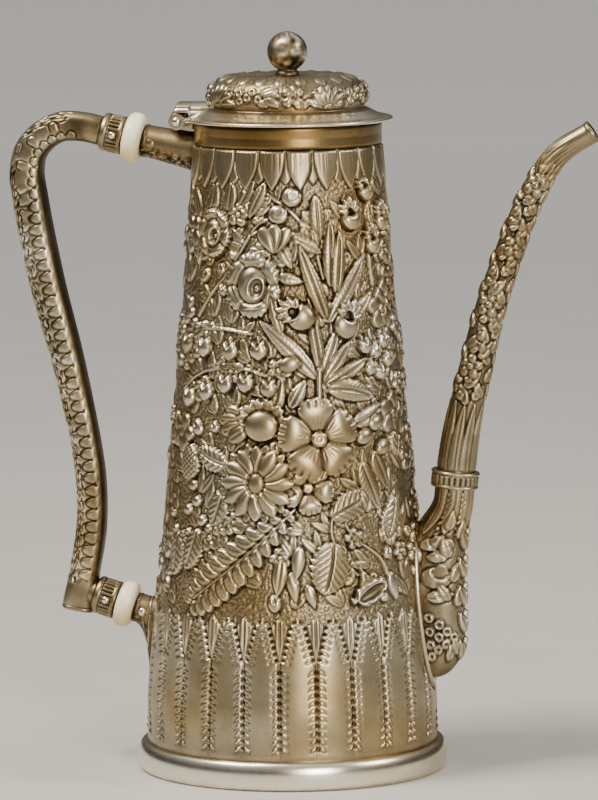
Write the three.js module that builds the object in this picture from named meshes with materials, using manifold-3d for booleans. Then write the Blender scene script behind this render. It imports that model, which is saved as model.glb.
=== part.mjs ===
// A repousse silver coffee pot: a tall tapering body on a moulded foot, a hinged domed lid
// with a ball finial, a slim curved spout and a square-section handle held by two ivory
// insulators. Millimetres, +Z up. The origin is on the body's axis at the resting plane,
// the spout points along +X and the handle stands on the -X side.
import * as THREE from "three";
import { mergeVertices } from "three/addons/utils/BufferGeometryUtils.js";
import Module from "manifold-3d";

const wasm = await Module();
wasm.setup();

// ---- Clearances ----
const SOLDER_GAP = 0.2; // between two pieces that are soldered together
const PRESS_GAP = 0.3; // between two pieces that are pinned or screwed together
const RUNNING_GAP = 0.09; // between the hinge pin and the moving knuckle
const HEAD_GAP = 0.15; // under the heads of the hinge pin
const THROUGH = 40; // length of a cutter that goes right through a piece

// ---- Body ----
const BASE_R = 47.4; // outside of the wall at the resting plane
const TOP_R = 29.9; // outside of the wall at its upper edge
const WALL_TOP_Z = 203.8;
const SHEET = 1.0; // thickness of the silver sheet of the body
const SWELL = 1.0; // how far the wall swells outwards above the foot
const SWELL_Z = 30; // height of the fullest swell
const FOOT_H = 9.3;
const FOOT_PROUD = 3.1; // how far the foot ring stands out from the wall
const BASE_PLATE_T = 1.2;
const STRAINER_HOLE_R = 1.5;
const STRAINER_ROWS = 6;
const STRAINER_PITCH = 6.5; // between rows of strainer holes
const STRAINER_Z = 38; // height of the lowest row

// ---- Rim collar ----
const COLLAR_R = 30.5;
const COLLAR_T = 1.2;
const COLLAR_H = 7.1;
const SPIGOT_H = 4.4; // the part of the collar that goes down inside the wall
const SPIGOT_T = 1.0;

// ---- Lid ----
const BRIM_R = 34;
const BRIM_T = 1.1;
const DOME_R = 25.5;
const DOME_TOP = 14.9; // height of the dome's top above the rim
const DOME_FOOT = 4.2; // height of the dome's foot above the brim's underside
const DOME_DIP = 0.6; // how far the dome's middle is dished for the finial
const LID_SHEET = 1.1;
const BEZEL_DEPTH = 4.6; // how far the bezel reaches down inside the collar
const BEZEL_T = 1.0;
const BEZEL_PLAY = 0.6; // between the bezel and the collar, so that the lid swings free
const BALL_R = 6.6;
const STUD_R = 1.3;
const STUD_L = 3.7; // how far the stud stands up inside the ball
const FINIAL_NECK_R = 3.8;
const FINIAL_NECK_H = 1.7;
const NUT_R = 3.2;
const NUT_H = 2.4;

// ---- Hinge ----
const HINGE_OUT = 4.7; // from the collar's outside to the hinge axis
const KNUCKLE_R = 2.7;
const KNUCKLE_HALF = 2.6; // half the length of the lid's knuckle
const KNUCKLE_SIDE = 0.3; // side play between two knuckles
const HINGE_HALF = 7.6; // half the length of the whole hinge
const HINGE_PIN_R = 1.0;
const HINGE_HEAD_R = 1.45;
const HINGE_HEAD_H = 0.9;
const HINGE_PLATE_T = 2.5; // the plate that joins the outer knuckles to the collar
const TONGUE_TOP = 6.1; // height of the tongue's crest above the hinge axis
const TONGUE_CROWN = 2.0; // how much higher the crest is than the tongue's side edges

// ---- Handle ----
const INSULATOR_T = 6.0;
const UPPER_INSULATOR_R = 8.35;
const LOWER_INSULATOR_R = 7.65;
const TENON_R = 3.3;
const TENON_L = 6.2;
const HANDLE_PIN_R = 0.8;
const FERRULE_HEAD_R = 1.2; // heads of the pins through the ferrules
const FERRULE_HEAD_H = 0.7;
const SOCKET_HEAD_R = 1.35; // heads of the pins through the sockets
const PIN_FROM_FACE = 3.4; // from an insulator's face to the pin through its tenon
const FERRULE_R = 6.3;
const FERRULE_L = 7.6;
const LOWER_FERRULE_NECK = 4.5; // the tapering neck from the lower ferrule to the grip
const NECK_SHORT = 0.5; // from that neck's end to the grip's centre line
const SOCKET_WALL = 1.0;
const UPPER_TILT = THREE.MathUtils.degToRad(12); // how steeply the mount climbs outwards
const LOWER_TILT = THREE.MathUtils.degToRad(17);
const UPPER_DROP = 6.0; // from the rim down to the upper insulator's centre
const UPPER_REACH = 20.2; // from the collar's outside to the upper insulator's centre
const LOWER_Z = 52.2; // height of the lower insulator's centre
const LOWER_REACH = 11.0; // from the wall's outside to the lower insulator's centre
const GRIP_HALF_TOP = 4.7; // half widths of the grip's squarish section
const GRIP_HALF_MID = 5.7;
const GRIP_HALF_LOW = 4.9;
const GRIP_WALL = 1.1;
const GRIP_CAP_T = 1.2;
const GRIP_SQUARENESS = 1.7;

// ---- Spout ----
const SPOUT_ROOT_R = 6.2; // outside radius of the tube at its ring
const SPOUT_TIP_R = 3.6;
const SPOUT_WALL = 0.9;
const SPOUT_RING_PROUD = 1.6; // how far the ring stands out from the tube
const SPOUT_RING_H = 5.5;
const SPOUT_RING_Z = 95.3;
const SPOUT_RING_OUT = 14.5; // from the wall's outside to the ring's centre
const SPOUT_TIP_DROP = 2.8; // from the rim down to the centre of the spout's mouth
const SPOUT_REACH = 99.4; // from the body's axis to the centre of the spout's mouth
const SPOUT_TILT = THREE.MathUtils.degToRad(6); // how far the ring leans outwards
const POUCH_BOTTOM_Z = 30;
const POUCH_FULL_Z = 60; // height at which the pouch is fullest
const POUCH_HALF_WIDTH = 7.0;
const POUCH_OUT = 14.2; // how far the pouch stands out from the wall at its fullest
const FLANGE_HALF_WIDTH = 9.6;
const FLANGE_BOTTOM_Z = 26.5;
const FLANGE_TOP_Z = 80.8;
const FLANGE_T = 1.6;

// ---- Facets ----
const BODY_SIDES = 36;
const SMALL_SIDES = 18;
const PIN_SIDES = 12;
const TUBE_SIDES = 12;
const GRIP_SIDES = 14;

// ---- Values worked out from the ones above ----
const COLLAR_Z = WALL_TOP_Z + SOLDER_GAP;
const RIM_Z = COLLAR_Z + COLLAR_H;
const HINGE_X = -(COLLAR_R + HINGE_OUT);
const HINGE_Z = RIM_Z - 0.1;
const COLLAR_BORE_R = COLLAR_R - COLLAR_T;
const BORE_R = TENON_R + PRESS_GAP; // bore of the sockets and ferrules
const SPOUT_RING_R = SPOUT_ROOT_R + SPOUT_RING_PROUD;
const UPPER_CENTRE = new THREE.Vector3(-(COLLAR_R + UPPER_REACH), 0, RIM_Z - UPPER_DROP);
const LOWER_CENTRE = new THREE.Vector3(-(wallRadius(LOWER_Z) + LOWER_REACH), 0, LOWER_Z);
const RING_CENTRE = new THREE.Vector3(
  wallRadius(SPOUT_RING_Z) + SPOUT_RING_OUT,
  0,
  SPOUT_RING_Z,
);
const TIP_CENTRE = new THREE.Vector3(SPOUT_REACH, 0, RIM_Z - SPOUT_TIP_DROP);

// ---- Finishes ----
const SILVER = { color: 0xa8977a, roughness: 0.36, metalness: 1 };
const DARK_SILVER = { color: 0x6d5c40, roughness: 0.45, metalness: 1 };
const BRIGHT_SILVER = { color: 0xc9c2b4, roughness: 0.28, metalness: 1 };
const IVORY = { color: 0xe6d9b4, roughness: 0.4, metalness: 0 };

const pot = new THREE.Group();

function addPiece(name, geometry, finish, parent = pot) {
  geometry.computeVertexNormals();
  const mesh = new THREE.Mesh(geometry, new THREE.MeshStandardMaterial(finish));
  mesh.name = name;
  parent.add(mesh);
  return mesh;
}

// The wall's outside radius: a straight taper plus a swell that peaks at SWELL_Z and fades.
function wallRadius(z) {
  const share = z / WALL_TOP_Z;
  const swell = (z / SWELL_Z) * Math.exp(1 - z / SWELL_Z);
  return THREE.MathUtils.lerp(BASE_R, TOP_R, share) + SWELL * swell;
}

// ---- Geometry helpers ----

// Merges shared vertices and turns the faces outwards.
function closed(geometry) {
  const bare = new THREE.BufferGeometry();
  bare.setAttribute("position", geometry.getAttribute("position").clone());
  if (geometry.index) bare.setIndex(geometry.index.clone());
  const merged = mergeVertices(bare, 1e-4);
  const p = merged.getAttribute("position");
  const corner = [new THREE.Vector3(), new THREE.Vector3(), new THREE.Vector3()];
  const kept = [];
  let volume = 0;
  for (let i = 0; i < merged.index.count; i += 3) {
    const face = [0, 1, 2].map((k) => merged.index.getX(i + k));
    if (new Set(face).size < 3) continue;
    face.forEach((v, k) => corner[k].fromBufferAttribute(p, v));
    volume += corner[0].dot(corner[1].clone().cross(corner[2]));
    kept.push(face);
  }
  if (volume < 0) kept.forEach((face) => face.reverse());
  merged.setIndex(kept.flat());
  return merged;
}

function toSolid(geometry) {
  const mesh = closed(geometry);
  return new wasm.Manifold(
    new wasm.Mesh({
      numProp: 3,
      vertProperties: new Float32Array(mesh.getAttribute("position").array),
      triVerts: new Uint32Array(mesh.index.array),
    }),
  );
}

function toGeometry(solid) {
  const mesh = solid.getMesh();
  const geometry = new THREE.BufferGeometry();
  geometry.setAttribute("position", new THREE.BufferAttribute(mesh.vertProperties, 3));
  geometry.setIndex(new THREE.BufferAttribute(mesh.triVerts, 1));
  return geometry;
}

// A solid of revolution about Z from [radius, height] pairs. The outline closes on itself
// unless it starts and ends on the axis.
function turned(outline, sides = BODY_SIDES) {
  const points = outline.map(([r, z]) => new THREE.Vector2(r, z));
  if (points[0].x > 0) points.push(points[0].clone());
  return closed(new THREE.LatheGeometry(points, sides).rotateX(Math.PI / 2));
}

// A plain cylinder along Y, centred on (x, 0, z).
function rodAlongY(radius, length, x, z, sides = PIN_SIDES) {
  return new THREE.CylinderGeometry(radius, radius, length, sides).translate(x, 0, z);
}

// Joins each ring of points to the next. The ends are capped with flat fans, or the last
// ring is joined to the first when the skin closes on itself.
function skin(rings, closesOnItself) {
  const sides = rings[0].length;
  const positions = rings.flat().flatMap((p) => [p.x, p.y, p.z]);
  const faces = [];
  const joined = closesOnItself ? rings.length : rings.length - 1;
  for (let i = 0; i < joined; i++) {
    const next = (i + 1) % rings.length;
    for (let k = 0; k < sides; k++) {
      const turn = (k + 1) % sides;
      const [a, b] = [i * sides + k, i * sides + turn];
      const [c, d] = [next * sides + k, next * sides + turn];
      faces.push(a, b, c, b, d, c);
    }
  }
  if (!closesOnItself) {
    const last = (rings.length - 1) * sides;
    for (let k = 1; k < sides - 1; k++) {
      faces.push(0, k + 1, k);
      faces.push(last, last + k, last + k + 1);
    }
  }
  const geometry = new THREE.BufferGeometry();
  geometry.setAttribute("position", new THREE.Float32BufferAttribute(positions, 3));
  geometry.setIndex(faces);
  return closed(geometry);
}

// A ring of points in the plane of `across` and Y: an ellipse at squareness 1, and closer
// to a rectangle with round corners as squareness grows.
function section(centre, across, halfAcross, halfY, squareness = 1, sides = TUBE_SIDES) {
  const ring = [];
  for (let k = 0; k < sides; k++) {
    const angle = ((k + 0.5) / sides) * 2 * Math.PI;
    const c = Math.sign(Math.cos(angle)) * Math.abs(Math.cos(angle)) ** (1 / squareness);
    const s = Math.sign(Math.sin(angle)) * Math.abs(Math.sin(angle)) ** (1 / squareness);
    ring.push(
      centre
        .clone()
        .addScaledVector(across, halfAcross * c)
        .add(new THREE.Vector3(0, halfY * s, 0)),
    );
  }
  return ring;
}

// The direction in the XZ plane that is square to a curve's tangent.
function normalAt(curve, t) {
  const tangent = curve.getTangentAt(t);
  return new THREE.Vector3(tangent.z, 0, -tangent.x);
}

// An outline quarter from (r0, z0) to (r1, z1) as a quarter ellipse in `steps` chords.
function quarter(r0, z0, r1, z1, risesFirst, steps = 4) {
  const points = [];
  for (let i = 0; i <= steps; i++) {
    const angle = (i / steps) * (Math.PI / 2);
    const [a, b] = [Math.sin(angle), 1 - Math.cos(angle)];
    const [u, v] = risesFirst ? [b, a] : [a, b];
    points.push([r0 + (r1 - r0) * u, z0 + (z1 - z0) * v]);
  }
  return points;
}

// ---- Body ----

// Everything that is soldered to the outside of the pot is cut back to this outline.
function potEnvelope(gap) {
  const outline = [[0, -1]];
  for (let z = -1; z < WALL_TOP_Z; z += WALL_TOP_Z / 12) {
    outline.push([wallRadius(Math.max(z, 0)) + gap, z]);
  }
  outline.push([TOP_R + gap, WALL_TOP_Z - gap]);
  outline.push([COLLAR_R + gap, WALL_TOP_Z - gap]);
  outline.push([COLLAR_R + gap, RIM_Z + 10]);
  outline.push([0, RIM_Z + 10]);
  return toSolid(turned(outline, 2 * BODY_SIDES));
}

function makeBodyWall() {
  const outside = [];
  const steps = 12;
  for (let i = 0; i <= steps; i++) {
    const z = i === 0 ? 0 : FOOT_H + ((WALL_TOP_Z - FOOT_H) * (i - 1)) / (steps - 1);
    outside.push([wallRadius(z), z]);
  }
  const inside = outside.map(([r, z]) => [r - SHEET, z]).reverse();
  let wall = toSolid(turned([...outside, ...inside]));
  for (let row = 0; row < STRAINER_ROWS; row++) {
    const z = STRAINER_Z + row * STRAINER_PITCH;
    const places = row % 2 === 0 ? [-STRAINER_PITCH / 2, STRAINER_PITCH / 2] : [0];
    for (const y of places) {
      const drill = new THREE.CylinderGeometry(STRAINER_HOLE_R, STRAINER_HOLE_R, THROUGH, PIN_SIDES)
        .rotateZ(Math.PI / 2)
        .translate(wallRadius(z), y, z);
      wall = wall.subtract(toSolid(drill));
    }
  }
  return toGeometry(wall);
}

function makeBasePlate() {
  const r = wallRadius(0) - SHEET - SOLDER_GAP;
  return turned([
    [0, 0],
    [r, 0],
    [r, BASE_PLATE_T],
    [0, BASE_PLATE_T],
  ]);
}

function makeFootRing() {
  const low = wallRadius(0) + SOLDER_GAP;
  const high = wallRadius(FOOT_H) + SOLDER_GAP;
  const out = BASE_R + FOOT_PROUD;
  return turned([
    [low, 0],
    [out - 1, 0],
    [out - 0.3, 1.6],
    [out, 4.2],
    [out - 0.3, 6.4],
    [out - 1, 8.2],
    [out - 2, FOOT_H],
    [high, FOOT_H],
  ]);
}

function makeRimCollar() {
  const spigotR = TOP_R - SHEET - SOLDER_GAP;
  const ledge = COLLAR_Z + 1;
  return turned([
    [spigotR - SPIGOT_T, COLLAR_Z - SPIGOT_H],
    [spigotR, COLLAR_Z - SPIGOT_H],
    [spigotR, COLLAR_Z],
    [COLLAR_R, COLLAR_Z],
    [COLLAR_R, RIM_Z],
    [COLLAR_BORE_R, RIM_Z],
    [COLLAR_BORE_R, ledge],
    [spigotR - SPIGOT_T, ledge],
  ]);
}

// ---- Lid ----

const LID_Z = RIM_Z + PRESS_GAP; // underside of the brim
const DOME_Z = RIM_Z + DOME_TOP;

// The lid's skin as [radius, height] pairs from its centre hole to the brim's edge. The
// inside skin is the same shape, drawn in by the sheet's thickness.
function lidSkin(inset) {
  const r = DOME_R - inset;
  const foot = LID_Z + DOME_FOOT - inset;
  const top = DOME_Z - inset;
  const belly = foot + (top - foot) * 0.4;
  const crown = r * 0.66;
  return [
    [STUD_R + PRESS_GAP, top - DOME_DIP],
    [crown * 0.8, top],
    ...quarter(crown, top, r, belly, false, 5),
    [r - 0.5, foot],
  ];
}

const BRIM_TOP = [
  [DOME_R + 2.5, LID_Z + 2.8],
  [BRIM_R - 3, LID_Z + BRIM_T + 0.3],
  [BRIM_R - 0.4, LID_Z + BRIM_T],
];

function makeLidCover() {
  const outside = lidSkin(0);
  const inside = lidSkin(LID_SHEET).reverse();
  const brimUnder = [
    [BRIM_R, LID_Z + BRIM_T / 2],
    [BRIM_R - 0.4, LID_Z],
    [COLLAR_BORE_R - 0.3, LID_Z],
    [DOME_R + 1, LID_Z + 1.8],
  ];
  const cover = toSolid(turned([...outside, ...BRIM_TOP, ...brimUnder, ...inside]));
  const notch = new THREE.BoxGeometry(8, 2 * (HINGE_HALF + 0.7), 20).translate(
    -(COLLAR_R + 0.7) - 4,
    0,
    LID_Z,
  );
  return toGeometry(cover.subtract(toSolid(notch)));
}

// The lid's outer skin grown by a gap, as the cutter for the tongue that lies on it.
function lidEnvelope(gap) {
  const grown = [...lidSkin(-gap), ...BRIM_TOP.map(([r, z]) => [r + gap, z + gap])];
  return toSolid(turned([...grown, [BRIM_R + gap, RIM_Z - 5], [0, RIM_Z - 5], [0, DOME_Z]]));
}

function makeLidBezel() {
  const out = COLLAR_BORE_R - BEZEL_PLAY;
  return turned([
    [out - BEZEL_T, RIM_Z - BEZEL_DEPTH],
    [out, RIM_Z - BEZEL_DEPTH],
    [out, RIM_Z + 0.2],
    [out - BEZEL_T, RIM_Z + 0.2],
  ]);
}

const NECK_Z = DOME_Z - DOME_DIP + PRESS_GAP; // underside of the finial's neck, in the dome's dip
const NECK_TOP_Z = NECK_Z + FINIAL_NECK_H;
const NUT_Z = DOME_Z - DOME_DIP - LID_SHEET - PRESS_GAP - NUT_H;

function makeFinialStem() {
  const top = NECK_TOP_Z + STUD_L;
  return turned(
    [
      [0, NUT_Z],
      [STUD_R, NUT_Z],
      [STUD_R, NECK_Z],
      [FINIAL_NECK_R, NECK_Z],
      [FINIAL_NECK_R, NECK_Z + FINIAL_NECK_H / 2],
      [FINIAL_NECK_R - 0.7, NECK_TOP_Z],
      [STUD_R, NECK_TOP_Z],
      [STUD_R, top],
      [0, top],
    ],
    SMALL_SIDES,
  );
}

function makeFinialBall() {
  const seat = NECK_TOP_Z + PRESS_GAP;
  const seatR = FINIAL_NECK_R - 0.4;
  const centre = seat + Math.sqrt(BALL_R ** 2 - seatR ** 2);
  const start = Math.asin(seatR / BALL_R);
  const bore = STUD_R + PRESS_GAP;
  const boreTop = NECK_TOP_Z + STUD_L + PRESS_GAP;
  const outline = [
    [0, boreTop],
    [bore, boreTop],
    [bore, seat],
  ];
  const steps = 10;
  for (let i = 0; i < steps; i++) {
    const angle = start + ((Math.PI - start) * i) / steps;
    outline.push([BALL_R * Math.sin(angle), centre - BALL_R * Math.cos(angle)]);
  }
  outline.push([0, centre + BALL_R]);
  return turned(outline, SMALL_SIDES);
}

function makeFinialNut() {
  const bore = STUD_R + PRESS_GAP;
  return turned(
    [
      [bore, NUT_Z],
      [NUT_R, NUT_Z],
      [NUT_R, NUT_Z + NUT_H],
      [bore, NUT_Z + NUT_H],
    ],
    6,
  );
}

// ---- Hinge ----

function makeLidHingeLeaf() {
  const reach = -DOME_R + 3 - HINGE_X; // from the hinge axis to inside the dome's foot
  const floor = KNUCKLE_R + PRESS_GAP;
  const side = new THREE.Shape();
  side.moveTo(reach, LID_Z + BRIM_T + 1.6 - HINGE_Z);
  side.lineTo(reach, TONGUE_TOP + 0.2);
  side.lineTo(2.8, TONGUE_TOP);
  side.quadraticCurveTo(0.4, TONGUE_TOP - 0.6, -1.2, floor + 0.2);
  side.lineTo(0, 0.5);
  side.lineTo(1.2, floor);
  side.lineTo(reach - 4, floor);
  const slab = new THREE.ExtrudeGeometry(side, {
    depth: 2 * HINGE_HALF - 1.2,
    bevelEnabled: false,
    curveSegments: 6,
  })
    .translate(0, 0, -HINGE_HALF + 0.6)
    .rotateX(Math.PI / 2);
  const arch = new THREE.Shape();
  const half = HINGE_HALF;
  arch.moveTo(-half, -4);
  arch.lineTo(half, -4);
  arch.lineTo(half, TONGUE_TOP - TONGUE_CROWN);
  arch.quadraticCurveTo(0, TONGUE_TOP + TONGUE_CROWN + 0.4, -half, TONGUE_TOP - TONGUE_CROWN);
  const crown = new THREE.ExtrudeGeometry(arch, {
    depth: 20,
    bevelEnabled: false,
    curveSegments: 8,
  })
    .rotateX(Math.PI / 2)
    .rotateZ(Math.PI / 2)
    .translate(-4, 0, 0);
  const knuckle = toSolid(rodAlongY(KNUCKLE_R, 2 * KNUCKLE_HALF, 0, 0, SMALL_SIDES));
  const room = toSolid(rodAlongY(KNUCKLE_R + PRESS_GAP, THROUGH, 0, 0, SMALL_SIDES));
  const bridge = toSolid(
    new THREE.BoxGeometry(4.6, 2 * KNUCKLE_HALF, 2.4).translate(0.9, 0, floor - 0.5),
  );
  const bore = toSolid(rodAlongY(HINGE_PIN_R + RUNNING_GAP, THROUGH, 0, 0, SMALL_SIDES));
  const tongue = toSolid(slab).intersect(toSolid(crown)).subtract(room);
  const leaf = tongue.add(bridge).add(knuckle).subtract(bore).translate([HINGE_X, 0, HINGE_Z]);
  return toGeometry(leaf.subtract(lidEnvelope(SOLDER_GAP)));
}

function makeBodyHingeLeaf(envelope) {
  const inner = KNUCKLE_HALF + KNUCKLE_SIDE;
  const length = HINGE_HALF - inner;
  const reach = HINGE_OUT + 2; // past the collar's outside, where the envelope cuts it
  const plate = new THREE.BoxGeometry(reach, 2 * HINGE_HALF, HINGE_PLATE_T).translate(
    HINGE_X + reach / 2,
    0,
    HINGE_Z - HINGE_PLATE_T / 2,
  );
  let leaf = toSolid(plate);
  for (const side of [-1, 1]) {
    const knuckle = new THREE.CylinderGeometry(KNUCKLE_R, KNUCKLE_R, length, SMALL_SIDES);
    knuckle.translate(HINGE_X, side * (inner + length / 2), HINGE_Z);
    leaf = leaf.add(toSolid(knuckle));
  }
  const room = rodAlongY(KNUCKLE_R + PRESS_GAP, 2 * inner, HINGE_X, HINGE_Z, SMALL_SIDES);
  const bore = rodAlongY(HINGE_PIN_R + RUNNING_GAP, THROUGH, HINGE_X, HINGE_Z, SMALL_SIDES);
  return toGeometry(leaf.subtract(toSolid(room)).subtract(toSolid(bore)).subtract(envelope));
}

// A pin along Y with a domed head at each end. The heads stand clear of what they hold.
function makePin(radius, halfLength, headR, headH, sides = PIN_SIDES) {
  const outline = [
    [0, -halfLength - headH],
    [headR * 0.6, -halfLength - headH * 0.8],
    [headR, -halfLength],
    [radius, -halfLength],
    [radius, halfLength],
    [headR, halfLength],
    [headR * 0.6, halfLength + headH * 0.8],
    [0, halfLength + headH],
  ];
  return turned(outline, sides).rotateX(Math.PI / 2);
}

// ---- Handle mounts ----

// An ivory disc with a tenon on each side, along Z.
function makeInsulator(discR) {
  const h = INSULATOR_T / 2;
  const round = 2.4;
  const pinHole = (z) => toSolid(rodAlongY(HANDLE_PIN_R + PRESS_GAP / 2, THROUGH, 0, z));
  const outline = [
    [0, -h - TENON_L],
    [TENON_R, -h - TENON_L],
    [TENON_R, -h],
    ...quarter(discR - round, -h, discR, -h + round, false, 4),
    ...quarter(discR, h - round, discR - round, h, true, 4),
    [TENON_R, h],
    [TENON_R, h + TENON_L],
    [0, h + TENON_L],
  ];
  return toGeometry(
    toSolid(turned(outline, SMALL_SIDES))
      .subtract(pinHole(h + PIN_FROM_FACE))
      .subtract(pinHole(-h - PIN_FROM_FACE)),
  );
}

// A ribbed band along Z that takes a tenon; its closed back meets the grip.
function ferruleSolid(neckL) {
  const face = INSULATOR_T / 2 + PRESS_GAP;
  const back = face + FERRULE_L;
  const outline = [
    [0, face + TENON_L + PRESS_GAP],
    [BORE_R, face + TENON_L + PRESS_GAP],
    [BORE_R, face],
    [FERRULE_R, face],
    [FERRULE_R, face + 1.2],
    [FERRULE_R - 0.5, face + 1.5],
    [FERRULE_R - 0.5, back - 2.0],
    [FERRULE_R, back - 1.7],
    [FERRULE_R - 0.2, back - 0.5],
    [GRIP_HALF_TOP - 0.2, back + neckL],
    [0, back + neckL],
  ];
  const hole = rodAlongY(HANDLE_PIN_R + PRESS_GAP / 2, THROUGH, 0, INSULATOR_T / 2 + PIN_FROM_FACE);
  return toSolid(turned(outline, SMALL_SIDES)).subtract(toSolid(hole));
}

// A group whose +Z runs outwards along a mount's axis, away from the body.
function mountGroup(centre, tilt) {
  const group = new THREE.Group();
  group.position.copy(centre);
  group.rotation.y = -(Math.PI / 2 - tilt);
  group.updateMatrixWorld(true);
  pot.add(group);
  return group;
}

// A hollow tapering arm from an insulator to the wall. `shape` gives, at a distance from the
// insulator's centre, how far the section drops below the axis, and its two half widths.
function makeSocket(centre, tilt, reach, shape, envelope) {
  const towards = new THREE.Vector3(Math.cos(tilt), 0, -Math.sin(tilt));
  const up = new THREE.Vector3(Math.sin(tilt), 0, Math.cos(tilt));
  const face = INSULATOR_T / 2 + PRESS_GAP;
  const boreEnd = INSULATOR_T / 2 + TENON_L + PRESS_GAP;
  const outside = [];
  const inside = [];
  const steps = 6;
  for (let i = 0; i <= steps; i++) {
    const s = face + ((reach - face) * i) / steps;
    const { drop, half, width } = shape(s);
    const middle = centre.clone().addScaledVector(towards, s).addScaledVector(up, -drop);
    outside.push(section(middle, up, half, width));
    if (s > boreEnd + 0.5) {
      inside.push(section(middle, up, half - SOCKET_WALL, width - SOCKET_WALL));
    }
  }
  const boreRing = (s) => section(centre.clone().addScaledVector(towards, s), up, BORE_R, BORE_R);
  inside.unshift(boreRing(face), boreRing(boreEnd));
  const tube = toSolid(skin([...outside, ...inside.reverse()], true));
  const pinAt = centre.clone().addScaledVector(towards, INSULATOR_T / 2 + PIN_FROM_FACE);
  const hole = rodAlongY(HANDLE_PIN_R + PRESS_GAP / 2, THROUGH, pinAt.x, pinAt.z);
  return toGeometry(tube.subtract(toSolid(hole)).subtract(envelope));
}

function upperSocketShape(s) {
  const t = s / UPPER_REACH;
  return { drop: -0.2 * t, half: 5.2 + 1.2 * t ** 2, width: 5.2 + 0.8 * t };
}

function lowerSocketShape(s) {
  const t = Math.min(Math.max((s - 4) / (LOWER_REACH - 3), 0), 1.4);
  return { drop: 4.4 * t ** 2, half: 4.8 + 5.4 * t ** 2, width: 4.8 + 1.4 * t };
}

// ---- Grip ----

// The grip's centre line: a bend that hangs from the upper ferrule, a long slanting stretch
// and a shallow curve up from the flat lower end.
function gripCurve() {
  const back = INSULATOR_T / 2 + FERRULE_L + 2 * PRESS_GAP;
  const top = new THREE.Vector3(
    UPPER_CENTRE.x - back * Math.cos(UPPER_TILT),
    0,
    UPPER_CENTRE.z + back * Math.sin(UPPER_TILT),
  );
  const lowerBack = INSULATOR_T / 2 + PRESS_GAP + FERRULE_L + LOWER_FERRULE_NECK + NECK_SHORT;
  const low = new THREE.Vector3(LOWER_CENTRE.x - lowerBack, 0, LOWER_CENTRE.z - 0.6);
  const bend = [
    [0, 0],
    [-6.0, 6.0 * Math.tan(UPPER_TILT)],
    [-13.2, 1.2],
    [-19.2, -1.9],
    [-23.3, -6.9],
    [-24.7, -13.6],
    [-23.8, -21.8],
  ].map(([x, z]) => top.clone().add(new THREE.Vector3(x, 0, z)));
  const rise = [
    [3.3, 50.7],
    [4.6, 38.2],
    [4.3, 24.9],
    [2.1, 11.9],
    [0, 0],
  ].map(([x, z]) => low.clone().add(new THREE.Vector3(x, 0, z)));
  const from = bend[bend.length - 1];
  const to = rise[0];
  const slant = [
    [1 / 3, -0.7],
    [2 / 3, 0.4],
  ].map(([t, x]) => from.clone().lerp(to, t).add(new THREE.Vector3(x, 0, 0)));
  return new THREE.CatmullRomCurve3([...bend, ...slant, ...rise], false, "centripetal");
}

// Half width of the grip along its length: slim at the ferrule, fullest at the bend, slim
// again below, with a small flare at the flat end.
function gripHalf(t) {
  const { lerp, smoothstep } = THREE.MathUtils;
  const upper = lerp(GRIP_HALF_TOP, GRIP_HALF_MID, smoothstep(t, 0, 0.25));
  const lower = lerp(upper, GRIP_HALF_LOW, smoothstep(t, 0.35, 0.7));
  return lower + 0.5 * smoothstep(t, 0.93, 1);
}

function gripRing(curve, t, grow) {
  const half = gripHalf(t) + grow;
  return section(curve.getPointAt(t), normalAt(curve, t), half, half, GRIP_SQUARENESS, GRIP_SIDES);
}

const GRIP_STEPS = 28;

function makeGrip(curve) {
  const outside = [];
  const inside = [];
  for (let i = 0; i <= GRIP_STEPS; i++) {
    outside.push(gripRing(curve, i / GRIP_STEPS, 0));
    inside.push(gripRing(curve, i / GRIP_STEPS, -GRIP_WALL));
  }
  return skin([...outside, ...inside.reverse()], true);
}

// The flat plate that closes the grip's lower end.
function makeGripCap(curve) {
  const down = curve.getTangentAt(1);
  const end = curve.getPointAt(1);
  const normal = normalAt(curve, 1);
  const half = gripHalf(1);
  const plate = (s, size) =>
    section(end.clone().addScaledVector(down, s), normal, size, size, GRIP_SQUARENESS, GRIP_SIDES);
  return skin(
    [
      plate(SOLDER_GAP, half),
      plate(SOLDER_GAP + GRIP_CAP_T, half - 0.3),
    ],
    false,
  );
}

// The grip's lower end and its cap, grown by a gap, as the cutter for the ferrule that butts
// on the grip's side.
function gripCutter(curve, gap) {
  const rings = [];
  for (let i = GRIP_STEPS - 6; i <= GRIP_STEPS; i++) {
    rings.push(gripRing(curve, i / GRIP_STEPS, gap));
  }
  const below = curve.getTangentAt(1).multiplyScalar(SOLDER_GAP + GRIP_CAP_T + gap);
  rings.push(gripRing(curve, 1, gap).map((p) => p.add(below)));
  return toSolid(skin(rings, false));
}

// ---- Spout ----

// The spout's centre line from its ring to its mouth, as shares of its height and reach.
function spoutCurve() {
  const shares = [
    [0, 0],
    [0.05, 0.14],
    [0.15, 0.32],
    [0.265, 0.5],
    [0.41, 0.67],
    [0.565, 0.82],
    [0.74, 0.93],
    [1, 1],
  ];
  const start = RING_CENTRE.clone().addScaledVector(ringAxis(), SOLDER_GAP);
  const span = TIP_CENTRE.clone().sub(start);
  return new THREE.CatmullRomCurve3(
    shares.map(([x, z]) => start.clone().add(new THREE.Vector3(span.x * x, 0, span.z * z))),
    false,
    "centripetal",
  );
}

function ringAxis() {
  return new THREE.Vector3(Math.sin(SPOUT_TILT), 0, Math.cos(SPOUT_TILT));
}

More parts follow.
